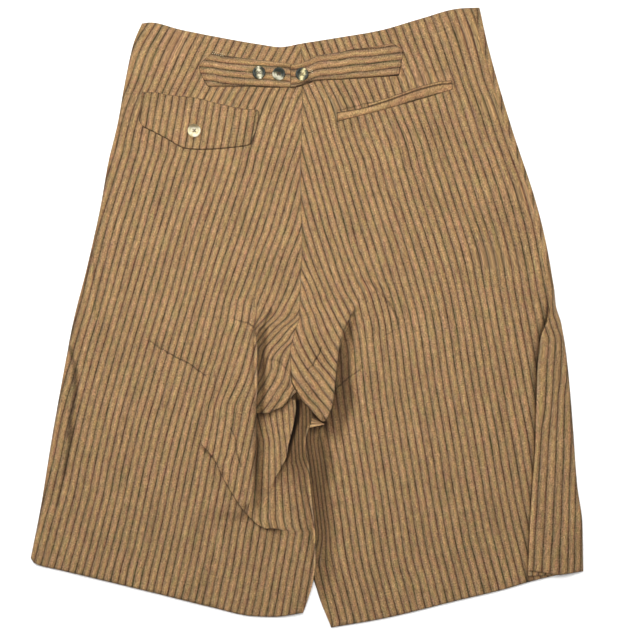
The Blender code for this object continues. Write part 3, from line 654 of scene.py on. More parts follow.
# Yarn-dyed plain-woven linen: matt, slightly slubbed, tan bands between thin dark lines. The eye sees the
# lines drift between grey-green and maroon and change in strength, and the tan break into short streaks of
# ochre, pink and olive that run with the stripes. Widths are shares of a stripe; spread, end and wander
# are the shadow lines of creases, in millimetres.
linenLook = dict(
    line="362917", lineGreen="332f19", lineMaroon="3e2517", companion="5c3f2a",
    grey="766149", middle="856a4b", bright="8f724d", warm="826442", brown="74573c",
    pink="8a664e", olive="7c6c45", pale="a38861", sheen="e8d8c0",
    lineWidth=0.11, lineCore=0.4, lineStrength=0.76, companionAt=0.27, companionWidth=0.075,
    roughness=0.92, streak=1.2, fleck=1.9, tint=0.36, uneven=0.75, spread=1.7, end=2.5, wander=4.0)


def stripedLinen(name, shadowedCreases=()):
    # Bands of colour across the UV map's first axis, which counts stripes; the rest is noise drawn out
    # along them, in stripe widths. Painted shadow lines follow the given creases, and the painted shade
    # attribute darkens the colour in folds and lightens it along fold lips.
    look = linenLook
    material, tree, shader = newMaterial(name, {
        "Roughness": look["roughness"], "Specular IOR Level": 0.15, "Sheen Weight": 0.08,
        "Sheen Roughness": 0.6, "Sheen Tint": linear(look["sheen"])})
    add = functools.partial(addNode, tree)
    place = add("UVMap", uv_map="stripes")
    across, along = (add("SeparateXYZ", (place,), output=axis) for axis in (0, 1))

    def noise(where, scale, detail=2.0, roughness=0.55, output="Fac"):
        # so many grains to a stripe's width across and along; the scale's third number is the seed
        where = add("VectorMath", (where, scale), operation="MULTIPLY")
        return add("TexNoise", {
            "Vector": where, "Scale": 1.0, "Detail": detail, "Roughness": roughness}, output)

    def cloud(*scale, **settings):
        return noise(onCloth, scale, **settings)

    def lineNoise(*scale):
        # noise that runs along each line, different from one to the next
        return noise(onLines, scale, roughness=0.5)

    def above(value, level, gain, clamp=True):
        # how far noise stands above a level
        return add("Math", (value, gain, -gain * level), operation="MULTIPLY_ADD", use_clamp=clamp)

    # the stripes waver by a fraction of their width
    onCloth = add("CombineXYZ", (across, along, 1.0))
    waver = add("Math", (
        above(cloud(0.4, 0.2, 0.0), 0.5, 0.2, False), above(cloud(2.0, 1.1, 3.0), 0.5, 0.07, False)),
        operation="ADD")
    moved = add("Math", (across, waver), operation="ADD")
    phase = add("Math", (moved,), operation="FRACT")
    number = add("Math", (add("Math", (moved, 0.5), operation="ADD"),), operation="FLOOR")
    onLines = add("CombineXYZ", (number, along, 1.0))

    # a thin brown line keeps the dark one company here and there
    fromCompanion = add("Math", (phase, look["companionAt"]), operation="SUBTRACT")
    fromCompanion = add("Math", (fromCompanion,), operation="ABSOLUTE")
    companion = add("Math", (fromCompanion, -1 / look["companionWidth"], 1.0), operation="MULTIPLY_ADD",
                    use_clamp=True)
    companion = add("Math", (companion, above(lineNoise(4.1, 0.3, 17.0), 0.42, 4.0)), operation="MULTIPLY")
    companion = add("Math", (companion, 0.7), operation="MULTIPLY")

    # tan band: greyish beside the line, bright in the middle, brown before the next line
    colour = add("ValToRGB", (phase,), stops=(
        (0.0, look["grey"]), (0.2, look["grey"]), (0.34, look["middle"]), (0.52, look["bright"]),
        (0.72, look["warm"]), (0.88, look["brown"]), (1.0, look["brown"])))
    for share, drift in (
            (above(cloud(0.9, 0.3, 11.0), 0.5, 1.7), "pink"),
            (above(cloud(1.1, 0.35, 23.0), 0.5, 1.7), "olive"),
            (above(cloud(5.5, 1.8, 31.0), 0.58, 3.0), "pale"), (companion, "companion")):
        colour = add("Mix", {0: share, 6: colour, 7: linear(look[drift])}, 2, data_type="RGBA")

    # dark line: full at its middle, with soft edges
    fromLine = add("Math", (add("Math", (moved, number), operation="SUBTRACT"),), operation="ABSOLUTE")
    halfWidth = above(lineNoise(5.3, 0.5, 7.0), 0.5, 0.08, False)
    halfWidth = add("Math", (halfWidth, look["lineWidth"]), operation="ADD")
    fromLine = add("Math", (fromLine, halfWidth), operation="DIVIDE")
    lineShare = add("Math", (1 + look["lineCore"], fromLine), operation="SUBTRACT", use_clamp=True)
    strength = add("Math", (
        above(lineNoise(6.1, 0.25, 29.0), 0.5, 1.1, False),
        above(lineNoise(9.1, 3.2, 61.0), 0.5, 1.0, False)), operation="ADD")
    strength = add("Math", (strength, look["lineStrength"]), operation="ADD", use_clamp=True)
    lineShare = add("Math", (lineShare, strength), operation="MULTIPLY")
    lineColour = add("ValToRGB", (lineNoise(3.7, 0.16, 0.0),), stops=(
        (0.38, look["lineGreen"]), (0.5, look["line"]), (0.62, look["lineMaroon"])))
    colour = add("Mix", {0: lineShare, 6: colour, 7: lineColour}, 2, data_type="RGBA")

    # threads: too fine to show at real size, so they are drawn as streaks about 2 mm wide that run with the
    # stripes and as flecks that cross them; each multiplies the colour by noise about 1
    streak, fleck = cloud(4.4, 1.1, 41.0), cloud(7.0, 5.0, 43.0, detail=1.0)
    for value, kind in (
            (streak, "streak"), (fleck, "fleck"), (cloud(2.6, 0.8, 53.0, output="Color"), "tint"),
            (cloud(0.8, 0.14, 71.0), "uneven")):
        gain = look[kind]
        factor = add("VectorMath", (value, (gain,) * 3, (1 - gain / 2,) * 3), operation="MULTIPLY_ADD")
        colour = add("VectorMath", (colour, factor), operation="MULTIPLY")

    # a thin shadow line along each sharp crease, in the garment's own place
    flat = add("TexCoord", output="Object")
    wander = add("TexNoise", {"Vector": flat, "Scale": 160.0, "Detail": 1.0}, "Color")
    wander = add("VectorMath", (wander, (0.5, 0.5, 0.5)), operation="SUBTRACT")
    reach = look["wander"] * mm
    flat = add("VectorMath", (wander, (reach, reach, 0.0), flat), operation="MULTIPLY_ADD")
    for crease in shadowedCreases:
        dx, dy = crease["toX"] - crease["x"], crease["toY"] - crease["y"]
        length = math.hypot(dx, dy)
        offset = add("VectorMath", (flat, (crease["x"] * mm, crease["y"] * mm, 0)), operation="SUBTRACT")
        forward, sideways = (
            add("VectorMath", (offset, direction), "Value", operation="DOT_PRODUCT")
            for direction in ((dx / length, dy / length, 0), (dy / length, -dx / length, 0)))
        fromMiddle = add("Math", (forward, length / 2 * mm), operation="SUBTRACT")
        spans = ((sideways, 0.0, crease.get("spread", look["spread"])),
                 (fromMiddle, length / 2 - look["end"], length / 2 + look["end"]))
        nearness, within = (
            add("MapRange", {
                "Value": add("Math", (distance,), operation="ABSOLUTE"), "From Min": full * mm,
                "From Max": none * mm, "To Min": 1.0, "To Max": 0.0}, interpolation_type="SMOOTHSTEP")
            for distance, full, none in spans)
        dark = add("Math", (nearness, within), operation="MULTIPLY")
        keep = add("Math", (dark, -crease["dark"], 1.0), operation="MULTIPLY_ADD")
        colour = add("VectorMath", {0: colour, "Scale": keep}, operation="SCALE")

    # painted shade and painted highlights: the shade attribute darkens and warms the colour in and beside
    # folds, and lightens it along fold lips
    shade = add("Attribute", output="Fac", attribute_name="shade")
    green, blue = (add("Math", (shade, power), operation="POWER") for power in (1.08, 1.15))
    depth = add("CombineXYZ", (shade, green, blue))
    colour = add("VectorMath", (colour, depth), operation="MULTIPLY")
    tree.links.new(colour, shader.inputs["Base Color"])
    thread = add("Math", (streak, fleck), operation="ADD")
    bump = add("Bump", {"Height": thread, "Strength": 0.3, "Distance": 0.4 * mm}, "Normal")
    tree.links.new(bump, shader.inputs["Normal"])
    return material


linen = stripedLinen("yarn-dyed striped linen, plain-woven")
# the linen for the backs also has painted shadow lines along the creases that have a dark value
linenWithCreaseShadows = stripedLinen(
    "yarn-dyed striped linen, plain-woven, with pressed creases", [row for row in creases if "dark" in row])
print("linen made")


# The back

def besideLip(distance, near, far, depth):
    # painted shade beside a fold's lip: by depth up to near, not at all past far
    return 1 - depth * between(distance, far, near) * (distance > -1.0)


def rimOfLip(distance, bright, dark, plump=1.0):
    # a painted highlight along a folded edge's rim, with a thin painted shadow line a few millimetres behind
    # it
    distance = distance / plump
    return 1 + bright * bell(distance, 0.9, 1.2) - dark * bell(distance, 3.7, 1.1)


# Grid lines: those of plain cloth from side to side and from waist to hem, and for each fold its plain lead,
# its bend and its hidden layer. PastSlit and pastRim count columns into the slit and the rolled edge.
panelMesh = dict(
    left=(62, 20, 7), leftRows=(58, 66, 44, 44), right=(24, 14, 44, 9, 12), rightRows=(62, 70, 92),
    front=(60, 110), crotchRow=45.0, thighBend=(9, 9, 5), gapBend=(4, 6, 4), roll=(8, 6, 4),
    lobeBend=(6, 6, 4), kneeBend=(5, 5, 3), tongueBend=(9, 9, 5), pleatBend=(6, 5, 8), pastSlit=12,
    pastRim=10)

# Where along y, or along x for the names that end in Across, each change on the left back starts and is full
leftSpans = dict(
    lobeStands=(30, -10), lobeHangs=(-60, -72), upperLayer=(-150, -90), sameCloth=(60, 100),
    kneeShift=(-40, -110), kneeShiftAcross=(-135, -105), slant=(-176, -154), pastKnee=(-246, -250),
    thighRim=(-98, -84), plumpRim=(-80, -65), lobeRimAcross=(-60, -50), legRim=(-118, -126),
    deepRim=(-225, -245))

# How much painted shade or painted highlight there is there. Names in Lip hold near, far and depth, names in
# Rim bright and dark, names in Reach where the shade is none and full, and names in Line its middle and
# width.
leftShades = dict(
    core=0.27, coreLine=(7.0, 2.2), thighRim=(0.5, 0.45), plump=0.3, highLip=(1.0, 5.0, 0.45),
    gapRim=(0.2, 0.0), lobe=0.5, lobeReach=(5.5, 0.5), lobeRim=(0.28, 0.1), knee=0.5, kneeReach=(3.5, 0.0),
    kneeDropReach=(1.0, 3.0), behindLeg=(0.22, 0.4), troughLine=(9.0, 6.0))


def buildBackLeft():
    # A grid whose columns follow the thigh fold, the slit and the rolled inner edge, and whose rows follow
    # the lobe's edge and the knee fold. Its height is the sum of what lies under each stretch of cloth.
    at, look = leftSpans, leftShades
    thighBend, gapBend = (bendStations(*panelMesh[name]) for name in ("thighBend", "gapBend"))
    lobeBend, kneeBend = (crossStations(*panelMesh[name]) for name in ("lobeBend", "kneeBend"))
    roll = stations(*panelMesh["roll"])
    thighStart, gapStart, rollStart = edgeOf(thighFold), edgeOf(gapFold), edgeOf(edgeLeft)
    lobeTop, kneeTop = edgeOf(lobeLeft, "y", 1), edgeOf(kneeFold, "y", 1)
    plain, plainRows = panelMesh["left"], panelMesh["leftRows"]

    def rollPlace(y):
        return rollStart(y) + rolledEdge(*roll, readAll(edgeLeft, y))[0] - walls["seamGap"] / 2

    columns = [
        plainBlock(line(sideLeft), thighStart, plain[0], True), foldBlock(thighFold, thighBend),
        plainBlock(line(thighFold), gapStart, plain[1]), foldBlock(gapFold, gapBend),
        plainBlock(line(gapFold), rollStart, plain[2]), dict(size=len(roll[0]), place=rollPlace)]
    # the lobe's fold starts under the thigh fold's lip
    ends = np.cumsum([0] + [block["size"] for block in columns])
    count = ends[-1]
    toRight = through(np.zeros(count), ends, 1, hiddenShare(thighBend))
    crotchRow = constant(panelMesh["crotchRow"])
    rows = [
        plainBlock(line(waist, "y"), crotchRow, plainRows[0], True, True),
        plainBlock(crotchRow, lobeTop, plainRows[1], down=True), crossBlock(lobeLeft, lobeBend, toRight),
        plainBlock(line(lobeLeft, "y"), kneeTop, plainRows[2], down=True),
        crossBlock(kneeFold, kneeBend, np.ones(count)),
        plainBlock(line(kneeFold, "y"), line(hemLeft, "y"), plainRows[3], down=True)]
    x, y, ends, tops = layGrid(columns, rows, 320.0, -330.0)

    # lobeDown and kneeDown: how far a row has come down from the upper cloth; below and underKnee: 0 on the
    # upper layer, 1 under it
    lobeRows, kneeRows = slice(tops[2], tops[3]), slice(tops[4], tops[5])
    lobeShape = doubleBend(*lobeBend, foldAt(lobeLeft, x[lobeRows]))
    even = smooth(evenSteps(lobeBend))
    lobeDown = through(np.zeros_like(x), tops, 2, mix(even, lobeShape["down"] / lobeShape["drop"], toRight))
    below = through(np.zeros_like(x), tops, 2, mix(even, hiddenShare(lobeBend), toRight))
    kneeShape = doubleBend(*kneeBend, foldAt(kneeFold, x[kneeRows]))
    kneeDown = through(np.zeros_like(x), tops, 4, shareDown(kneeShape))
    kneeActive = smooth(read(kneeFold, "angle", x[kneeRows]) / 120)
    even = smooth(evenSteps(kneeBend))
    underKnee = through(np.zeros_like(x), tops, 4, mix(even, hiddenShare(kneeBend), kneeActive))
    kneeDrop = dropOf(kneeFold, x)
    overKnee = np.exp(-np.maximum(y - kneeTop(x), 0) / folds["kneeReach"]) * kneeDrop * (1 - kneeDown)

    # under the lobe: leg cloth that rises to the inner edge, with the slit's lip in front of it
    thighX, gapX = read(thighFold, "x", y), read(gapFold, "x", y)
    legEdge = read(edgeLeft, "x", y)
    gapActive = read(gapFold, "angle", y) / 180
    rightX = np.maximum(x, thighX)
    broad = smooth(1 - (rollStart(y) - rightX) / folds["innerEdgeReach"]) ** 2
    steep = smooth((rightX - gapX) / np.maximum(legEdge - 3 - gapX, 4.0))
    legBase = read(legEdgeHeight, "height", y) * mix(broad, steep, gapActive)
    legHeight = legBase.copy()
    beforeGap, strip = slice(0, ends[3]), slice(ends[3], ends[4])
    rise = dropOf(gapFold, y) * smooth(1 - (gapStart(y) - rightX) / folds["gapReach"])
    legHeight[:, beforeGap] += rise[:, beforeGap]
    gapShape = doubleBend(*gapBend, foldAt(gapFold, y[:, strip]))
    legHeight[:, strip] += gapShape["drop"] - gapShape["down"]

    # the lobe rises from the thigh fold to the seam, and over the leg near its lower edge
    seamX, seamHeight = read(seam, "x", y), read(seam, "height", y)
    lobeActive = between(y, *at["lobeStands"])
    across = smooth((rightX - thighX) / (seamX - thighX)) ** 0.8
    lobeHeight = mix(folds["lobeLow"] * lobeActive, seamHeight, across)
    near = smooth(1 - (y - lobeTop(x)) / folds["nearLobe"]) * between(y, *at["lobeHangs"])
    near = np.where(lobeDown > 0, 1.0, near)
    height = mix(lobeHeight, legHeight + dropOf(lobeLeft, x) * (1 - lobeDown), near)

    # through the thigh fold the cloth comes down from the body's layer to the lobe's
    fromLobe = height[:, ends[2]][:, None]
    upperLayer = folds["lobeLow"] * lobeActive * between(y, *at["upperLayer"])
    strip, body = slice(ends[1], ends[2]), slice(0, ends[1])
    thighShape = doubleBend(*thighBend, foldAt(thighFold, y[:, strip]))
    height[:, strip] = mix(upperLayer[:, strip], fromLobe, shareDown(thighShape))
    height[:, strip] += thighShape["drop"] - thighShape["down"]
    away = smooth(1 - (thighStart(y) - x) / folds["thighReach"])
    height[:, body] = ((upperLayer + dropOf(thighFold, y)) * away)[:, body]
    rolled = slice(ends[5], ends[6])
    height[:, rolled] -= rolledEdge(*roll, readAll(edgeLeft, y[:, rolled]))[1]
    height += overKnee

    # stripes: each field on its own layer, changed over inside the hidden layers
    bodyX, reach = x.copy(), x.copy()
    bodyX[:, strip] = thighStart(y[:, strip]) + thighShape["fromStart"]
    reach[:, strip] = thighX[:, strip] - thighShape["toEnd"]
    bodyStripe = stripeNumber(bodyLeftStripes, bodyX, y)
    bodyAlong = alongStripe(bodyLeftStripes, x, y)
    shifted = between(y, *at["kneeShift"]) * between(x, *at["kneeShiftAcross"]) * (1 - underKnee)
    bodyStripe -= folds["aboveKneeShift"] * shifted
    reachStripe = stripeNumber(bodyLeftStripes, reach, y)
    # high up, both sides of the thigh fold are the same cloth
    sameCloth = between(y, *at["sameCloth"])
    lobe = mix(stripeNumber(tongueLeftStripes, reach, y), reachStripe, sameCloth)
    lobeAlong = mix(alongStripe(tongueLeftStripes, x, y), bodyAlong, sameCloth)
    # past the slit the cloth lies at a slant, so its stripes stand closer
    slant = folds["slantShift"] * between(y, *at["slant"]) * gapActive
    thigh = stripeNumber(thighStripes, reach, y) + slant * np.maximum(x - gapX - 2, 0) / stripePeriod
    toBody = mix(underKnee, 1.0, between(y, *at["pastKnee"]))
    lower = mix(thigh, reachStripe, toBody)
    lowerAlong = mix(alongStripe(thighStripes, x, y), bodyAlong, toBody)
    stripe = mix(bodyStripe, mix(lobe, lower, below), toRight)
    stripe -= pulledWeave(x, y) * mix(1.0, sameCloth, toRight)
    along = mix(bodyAlong, mix(lobeAlong, lowerAlong, below), toRight)

    # painted shade beside the thigh fold's lip, with a darker painted core, and a painted highlight on the
    # lip's rim, which dulls low down
    hollow, slit = readAll(thighPaintedShade, y), readAll(gapShade, y)
    core = look["core"] * hollow["core"] * bell(x - thighX, *look["coreLine"])
    inHollow = besideLip(x - thighX, hollow["near"], hollow["far"], hollow["depth"]) - core
    rim = rimOfLip(thighX - x, *look["thighRim"], 1 + look["plump"] * between(y, *at["plumpRim"]))
    rim = mix(besideLip(thighX - x, *look["highLip"]), rim, between(y, *at["thighRim"]))
    thighActive = smooth(read(thighFold, "angle", y) / folds["turned"])
    shade = mix(1.0, np.where(toRight > 0.4, inHollow, rim), thighActive)
    # painted shade in the slit and on the cloth past it, and a painted highlight on the slit's rim
    inSlit = besideLip(x - gapX, slit["near"], slit["far"], slit["depth"]) * (1 - slit["dim"])
    pastSlit = np.arange(count) >= ends[3] + panelMesh["pastSlit"]
    gapRim = rimOfLip(gapX - x, *look["gapRim"])
    shade *= mix(1.0, np.where(pastSlit, inSlit, gapRim), gapActive * below)
    # painted shade under the lobe's lower edge and the knee fold's lip, and a painted highlight on the lobe's
    # rim
    lobeLine = read(lobeLeft, "y", x)
    underLobe = below * between(lobeLine - y, *look["lobeReach"]) * toRight
    shade *= 1 - look["lobe"] * underLobe * (lobeDown > 0.9)
    onLobe = (1 - below) * toRight * between(x, *at["lobeRimAcross"])
    shade *= mix(1.0, rimOfLip(y - lobeLine, *look["lobeRim"]), onLobe)
    belowKnee = between(read(kneeFold, "y", x) - y, *look["kneeReach"])
    shade *= 1 - look["knee"] * between(kneeDrop, *look["kneeDropReach"]) * underKnee * belowKnee
    # a painted highlight and shadow line on the leg's edge, and painted shade in the trough behind it
    beforeRim = np.arange(count) < ends[5] + panelMesh["pastRim"]
    legRim = rimOfLip(legEdge - x, slit["rim"], mix(*look["behindLeg"], between(y, *at["deepRim"])))
    shade *= mix(1.0, legRim, between(y, *at["legRim"]) * beforeRim)
    shade *= 1 - slit["trough"] * bell(legEdge - x, *look["troughLine"])

    z = lieOfBack(x, y, quietEdge(x, y, hemLeft)) + height
    z -= edgeCurl(x - read(sideLeft, "x", y), hemLeft, x, y)
    return makeCloth("backLeft", x, y, z, stripe, along, shade, linenWithCreaseShadows, "back_left")


# The same for the right back: spans, and the painted shade and painted highlights
rightSpans = dict(
    sameCloth=(70, 120), legLow=(-285, -240), legHigh=(-90, -110), tongueLow=(-165, -135),
    lobeRim=(-70, -80), legShade=(-96, -108), legShadeLow=(-300, -210), cornerLeft=(2, 4),
    cornerRight=(17, 11), cornerTop=(-121, -124), cornerFoot=(-135, -127), lobeShadeAcross=(28, 16),
    pleatShade=(-140, -60))
rightShades = dict(
    lobe=0.75, lobeReach=(10.0, 1.0), lobeRim=(0.25, 0.2), leg=0.58, legLow=0.55, corner=0.6, pleatLow=0.35,
    pleatWideLip=(0.0, 10.0, 0.6), pleatThinLip=(0.8, 3.0, 0.45), pleatRim=(0.2, 0.12))


def buildBackRight():
    # The same grid for the right: its columns follow the tongue fold and the side pleat, and its rows the
    # right lobe's edge
    at, look = rightSpans, rightShades
    tongueBend, lobeBend = bendStations(*panelMesh["tongueBend"]), crossStations(*panelMesh["lobeBend"])
    pleatBend = [values[::-1] for values in bendStations(*panelMesh["pleatBend"])]
    inner = line(edgeRight, "x", walls["seamGap"] / 2)
    tongueStart, pleatEnd, lobeTop = edgeOf(tongueFold), edgeOf(sidePleat, side=1), edgeOf(lobeRight, "y", 1)
    besideTongue, besidePleat = line(tongueFold, "x", 24.0), line(sidePleat, "x", -11.0)
    plain, plainRows = panelMesh["right"], panelMesh["rightRows"]
    columns = [
        plainBlock(inner, tongueStart, plain[0], True), foldBlock(tongueFold, tongueBend),
        plainBlock(line(tongueFold), besideTongue, plain[1]), plainBlock(besideTongue, besidePleat, plain[2]),
        plainBlock(besidePleat, line(sidePleat), plain[3]), foldBlock(sidePleat, pleatBend, True),
        plainBlock(pleatEnd, line(sideRight), plain[4])]
    count = sum(block["size"] for block in columns)
    crotchRow = constant(panelMesh["crotchRow"])
    rows = [
        plainBlock(line(waist, "y"), crotchRow, plainRows[0], True, True),
        plainBlock(crotchRow, lobeTop, plainRows[1], down=True),
        crossBlock(lobeRight, lobeBend, np.ones(count)),
        plainBlock(line(lobeRight, "y"), line(hemRight, "y"), plainRows[2], down=True)]
    x, y, ends, tops = layGrid(columns, rows, 330.0, -340.0)
    lobeRows = slice(tops[2], tops[3])
    lobeShape = doubleBend(*lobeBend, foldAt(lobeRight, x[lobeRows]))
    lobeDown = through(np.zeros_like(x), tops, 2, shareDown(lobeShape))
    below = through(np.zeros_like(x), tops, 2, hiddenShare(lobeBend))

    # the lobe rises from the tongue fold to the seam; under it the leg lies flat
    strip, body = slice(ends[1], ends[2]), slice(ends[2], count)
    share = np.clip((x - inner(y)) / (tongueStart(y) - inner(y)), 0.0, 1.0)
    lobeHeight = mix(read(seam, "height", y), dropOf(tongueFold, y, 1 - below), smooth(share))
    tongueShape = doubleBend(*tongueBend, foldAt(tongueFold, y[:, strip], 1 - below[:, strip]))
    lobeHeight[:, strip] = tongueShape["drop"] - tongueShape["down"]
    near = np.where(lobeDown > 0, 1.0, smooth(1 - (y - lobeTop(x)) / folds["nearLobe"])) * (x < 20)
    height = mix(lobeHeight * (1 - below), dropOf(lobeRight, x) * (1 - lobeDown), near)
    height[:, body] = 0.0

    # the pleat's upper layer lies over the body and dies away to the side seam
    fold, side = slice(ends[5], ends[6]), slice(ends[6], count)
    pleatShape = doubleBend(*pleatBend, foldAt(sidePleat, y[:, fold]))
    height[:, fold] = pleatShape["drop"] - pleatShape["down"]
    away = (x - pleatEnd(y)) / np.maximum(read(sideRight, "x", y) - pleatEnd(y), 2.0)
    height[:, side] = (dropOf(sidePleat, y) * (1 - smooth(away) ** 2))[:, side]
    # it ends a little above the hem
    foot, start = y[-1:, fold], folds["pleatHemStart"]
    short = np.clip((pleatEnd(foot) - x[:, fold]) / read(sidePleat, "width", foot), 0.0, 1.0)
    lifted = height[:, fold] / np.maximum(pleatShape["drop"], 0.01)
    y[:, fold] += folds["pleatHemRise"] * short * lifted * smooth((start - y[:, fold]) / (start - foot))

    # stripes, as on the left
    lobeX, bodyX = x.copy(), x.copy()
    lobeX[:, strip] = tongueStart(y[:, strip]) + tongueShape["fromStart"]
    bodyX[:, strip] = read(tongueFold, "x", y[:, strip]) - tongueShape["toEnd"]
    sameCloth = between(y, *at["sameCloth"])
    bodyAlong = alongStripe(bodyRightStripes, x, y)
    lobe = stripeNumber(tongueRightStripes, lobeX, y)
    lobe = mix(lobe, stripeNumber(bodyRightStripes, lobeX, y), sameCloth)
    lobeAlong = mix(alongStripe(tongueRightStripes, x, y), bodyAlong, sameCloth)
    toBody = mix(through(np.zeros(count), ends, 1, hiddenShare(tongueBend)), 1.0, below)
    # beside the left leg's edge the stripes stand closer
    fromLeg = x - read(edgeLeft, "x", np.minimum(y, -104))
    closer = np.maximum(folds["closerReach"] - fromLeg, 0) * between(y, *at["legLow"])
    closer *= between(y, *at["legHigh"])
    bodyStripe = stripeNumber(bodyRightStripes, bodyX, y) - closer / stripePeriod
    stripe = mix(lobe, bodyStripe, toBody) - pulledWeave(x, y) * mix(sameCloth, 1.0, toBody)
    toPleat = through(np.zeros(count), ends, 5, 1 - hiddenShare(pleatBend))
    stripe = mix(stripe, stripeNumber(pleatStripes, x, y), toPleat)
    along = mix(mix(lobeAlong, bodyAlong, toBody), alongStripe(pleatStripes, x, y), toPleat)

    # painted shade beside the tongue fold, and a painted highlight on the lobe's rim
    fromTongue = x - read(tongueFold, "x", y)
    tongueActive = smooth(read(tongueFold, "angle", y) / folds["turned"]) * between(y, *at["tongueLow"])
    reach = read(tongueShade, "reach", y)
    dark = besideLip(fromTongue, reach, 1.5 * reach + 1.0, read(tongueShade, "depth", y))
    shade = np.where((toBody > 0.5) & (fromTongue > -14), mix(1.0, dark, tongueActive), 1.0)
    lobeLine = read(lobeRight, "y", x)
    onLobe = (1 - below) * (1 - toBody) * between(y, *at["lobeRim"])
    shade *= mix(1.0, rimOfLip(y - lobeLine, *look["lobeRim"]), onLobe)
    # painted shade beside the left leg's edge, under the lobe and under the folded corner
    dim = readAll(legShade, y)
    besideLeg = besideLip(np.maximum(fromLeg, 0), dim["near"], dim["far"], look["leg"])
    lowDown = mix(look["legLow"], 1.0, between(y, *at["legShadeLow"]))
    shade *= mix(1.0, besideLeg, between(y, *at["legShade"]) * lowDown * below)
    underLobe = below * between(lobeLine - y, *look["lobeReach"]) * between(x, *at["lobeShadeAcross"])
    shade *= 1 - look["lobe"] * underLobe * (lobeDown > 0.9)
    corner = between(x, *at["cornerLeft"]) * between(x, *at["cornerRight"])
    shade *= 1 - look["corner"] * corner * between(y, *at["cornerTop"]) * between(y, *at["cornerFoot"])
    # painted shade beside the pleat's lip, and a painted highlight on its rim
    pleatX = read(sidePleat, "x", y)
    pleatActive = smooth(read(sidePleat, "angle", y) / folds["turned"])
    fading = pleatActive * mix(look["pleatLow"], 1.0, between(y, *at["pleatShade"]))
    dark = mix(1.0, besideLip(pleatX - x, *look["pleatWideLip"]), fading)
    dark *= mix(1.0, besideLip(pleatX - x, *look["pleatThinLip"]), pleatActive)
    shade *= np.where((toPleat < 0.5) & (x < pleatX + 14), dark, 1.0)
    shade *= mix(1.0, rimOfLip(x - pleatX, *look["pleatRim"]), pleatActive * (toPleat > 0.5))

    z = lieOfBack(x, y, quietEdge(x, y, hemRight)) + height
    z -= edgeCurl(read(sideRight, "x", y) - x, hemRight, x, y)
    return makeCloth("backRight", x, y, z, stripe, along, shade, linenWithCreaseShadows, "back_right")


backLeft = buildBackLeft()
backRight = buildBackRight()
print("back made")


# The fronts, flat on the surface

frontEdgeLeft = table("y x", (312, -6), (155, -7), (0, -7), (-84, -8), (-150, -7), (-250, -5), (-336, -4))
frontEdgeRight = table(
    "y x", (312, -6), (155, -7), (0, -7), (-84, -8), (-150, -5), (-250, -1), (-276, 2), (-311, 12),
    (-353, 28))


def buildFront(name, left, right, hem, replaces):
    # an even grid between the sides, waist and hem, a little lower away from the sides
    across, down = panelMesh["front"]
    rows = [plainBlock(line(waist, "y"), line(hem, "y"), down, True, True)]
    x, y = layGrid([plainBlock(left, right, across, True)], rows, 320.0, -330.0)[:2]
    fromSide = np.minimum(x - left(y), right(y) - x)
    z = levels["front"] - curls["front"] * smooth(fromSide / curls["frontReach"])
    stripe, along = stripeNumber(frontStripes, x, y), alongStripe(frontStripes, x, y)
    return makeCloth(name, x, y, z, stripe, along, np.ones_like(x), linen, replaces)


halfGap = walls["seamGap"] / 2
frontLeft = buildFront("frontLeft", line(sideLeft), line(frontEdgeLeft, "x", -halfGap), hemLeft, "front_left")
frontRight = buildFront(
    "frontRight", line(frontEdgeRight, "x", halfGap), line(sideRight), hemRight, "front_right")
print("fronts made")


# Strap, flap and pocket lips

strapTopLeft = table(
    "x y", (-123, 303), (-107, 301), (-94, 298), (-72, 295), (-37, 291), (-11, 288), (7, 288))
strapFootLeft = table("x y", (-123, 262), (-112, 263), (-64, 263), (-42, 262), (-15, 262), (7, 268))
strapTopRight = table(
    "x y", (-18, 287), (-10, 288), (-1, 291), (14, 298), (40, 302), (52, 305), (69, 307), (98, 312),
    (111, 314))
strapFootRight = table("x y", (-18, 261), (-12, 262), (4, 268), (14, 270), (39, 271), (85, 274), (111, 276))
strapEndLeft = table("part x", (0, -107), (0.45, -122), (0.8, -117), (1, -112))
strapEndRight = table("part x", (0, 98), (0.3, 110), (0.6, 108), (1, 105))
strapCrossing = table("x rise", (-30, 1), (8, 1), (22, 0), (40, 0))
flapTop = table(
    "x y", (-191, 256), (-172, 256), (-158, 253), (-128, 250), (-100, 243), (-70, 237), (-54, 236))
flapFoot = table(
    "x y", (-191, 219), (-186, 217), (-162, 205), (-136, 192), (-121, 191), (-70, 195), (-54, 202))
flapLeft = table("part x", (0, -187), (0.5, -189), (0.85, -190), (1, -186))
flapRight = table("part x", (0, -56), (0.1, -54), (0.6, -57), (1, -63))
weltMouth = table("x y", (35, 233), (63, 238), (88, 245), (132, 260), (153, 265), (165, 266))
weltFoot = table("x y", (35, 223), (66, 231), (103, 241), (138, 251), (167, 260))
trims = dict(
    strapHiddenEnd=6.0, strapFreeEnd=-18.0, crossingRise=1.7, weltLip=2.6, weltGap=0.8, weltStart=70.0,
    edgeRound=1.1, roundReach=1.6, halfWall=0.35, stitchInset=2.2, stitchDip=0.22, stitchShade=0.2,
    stitchWidth=0.7)

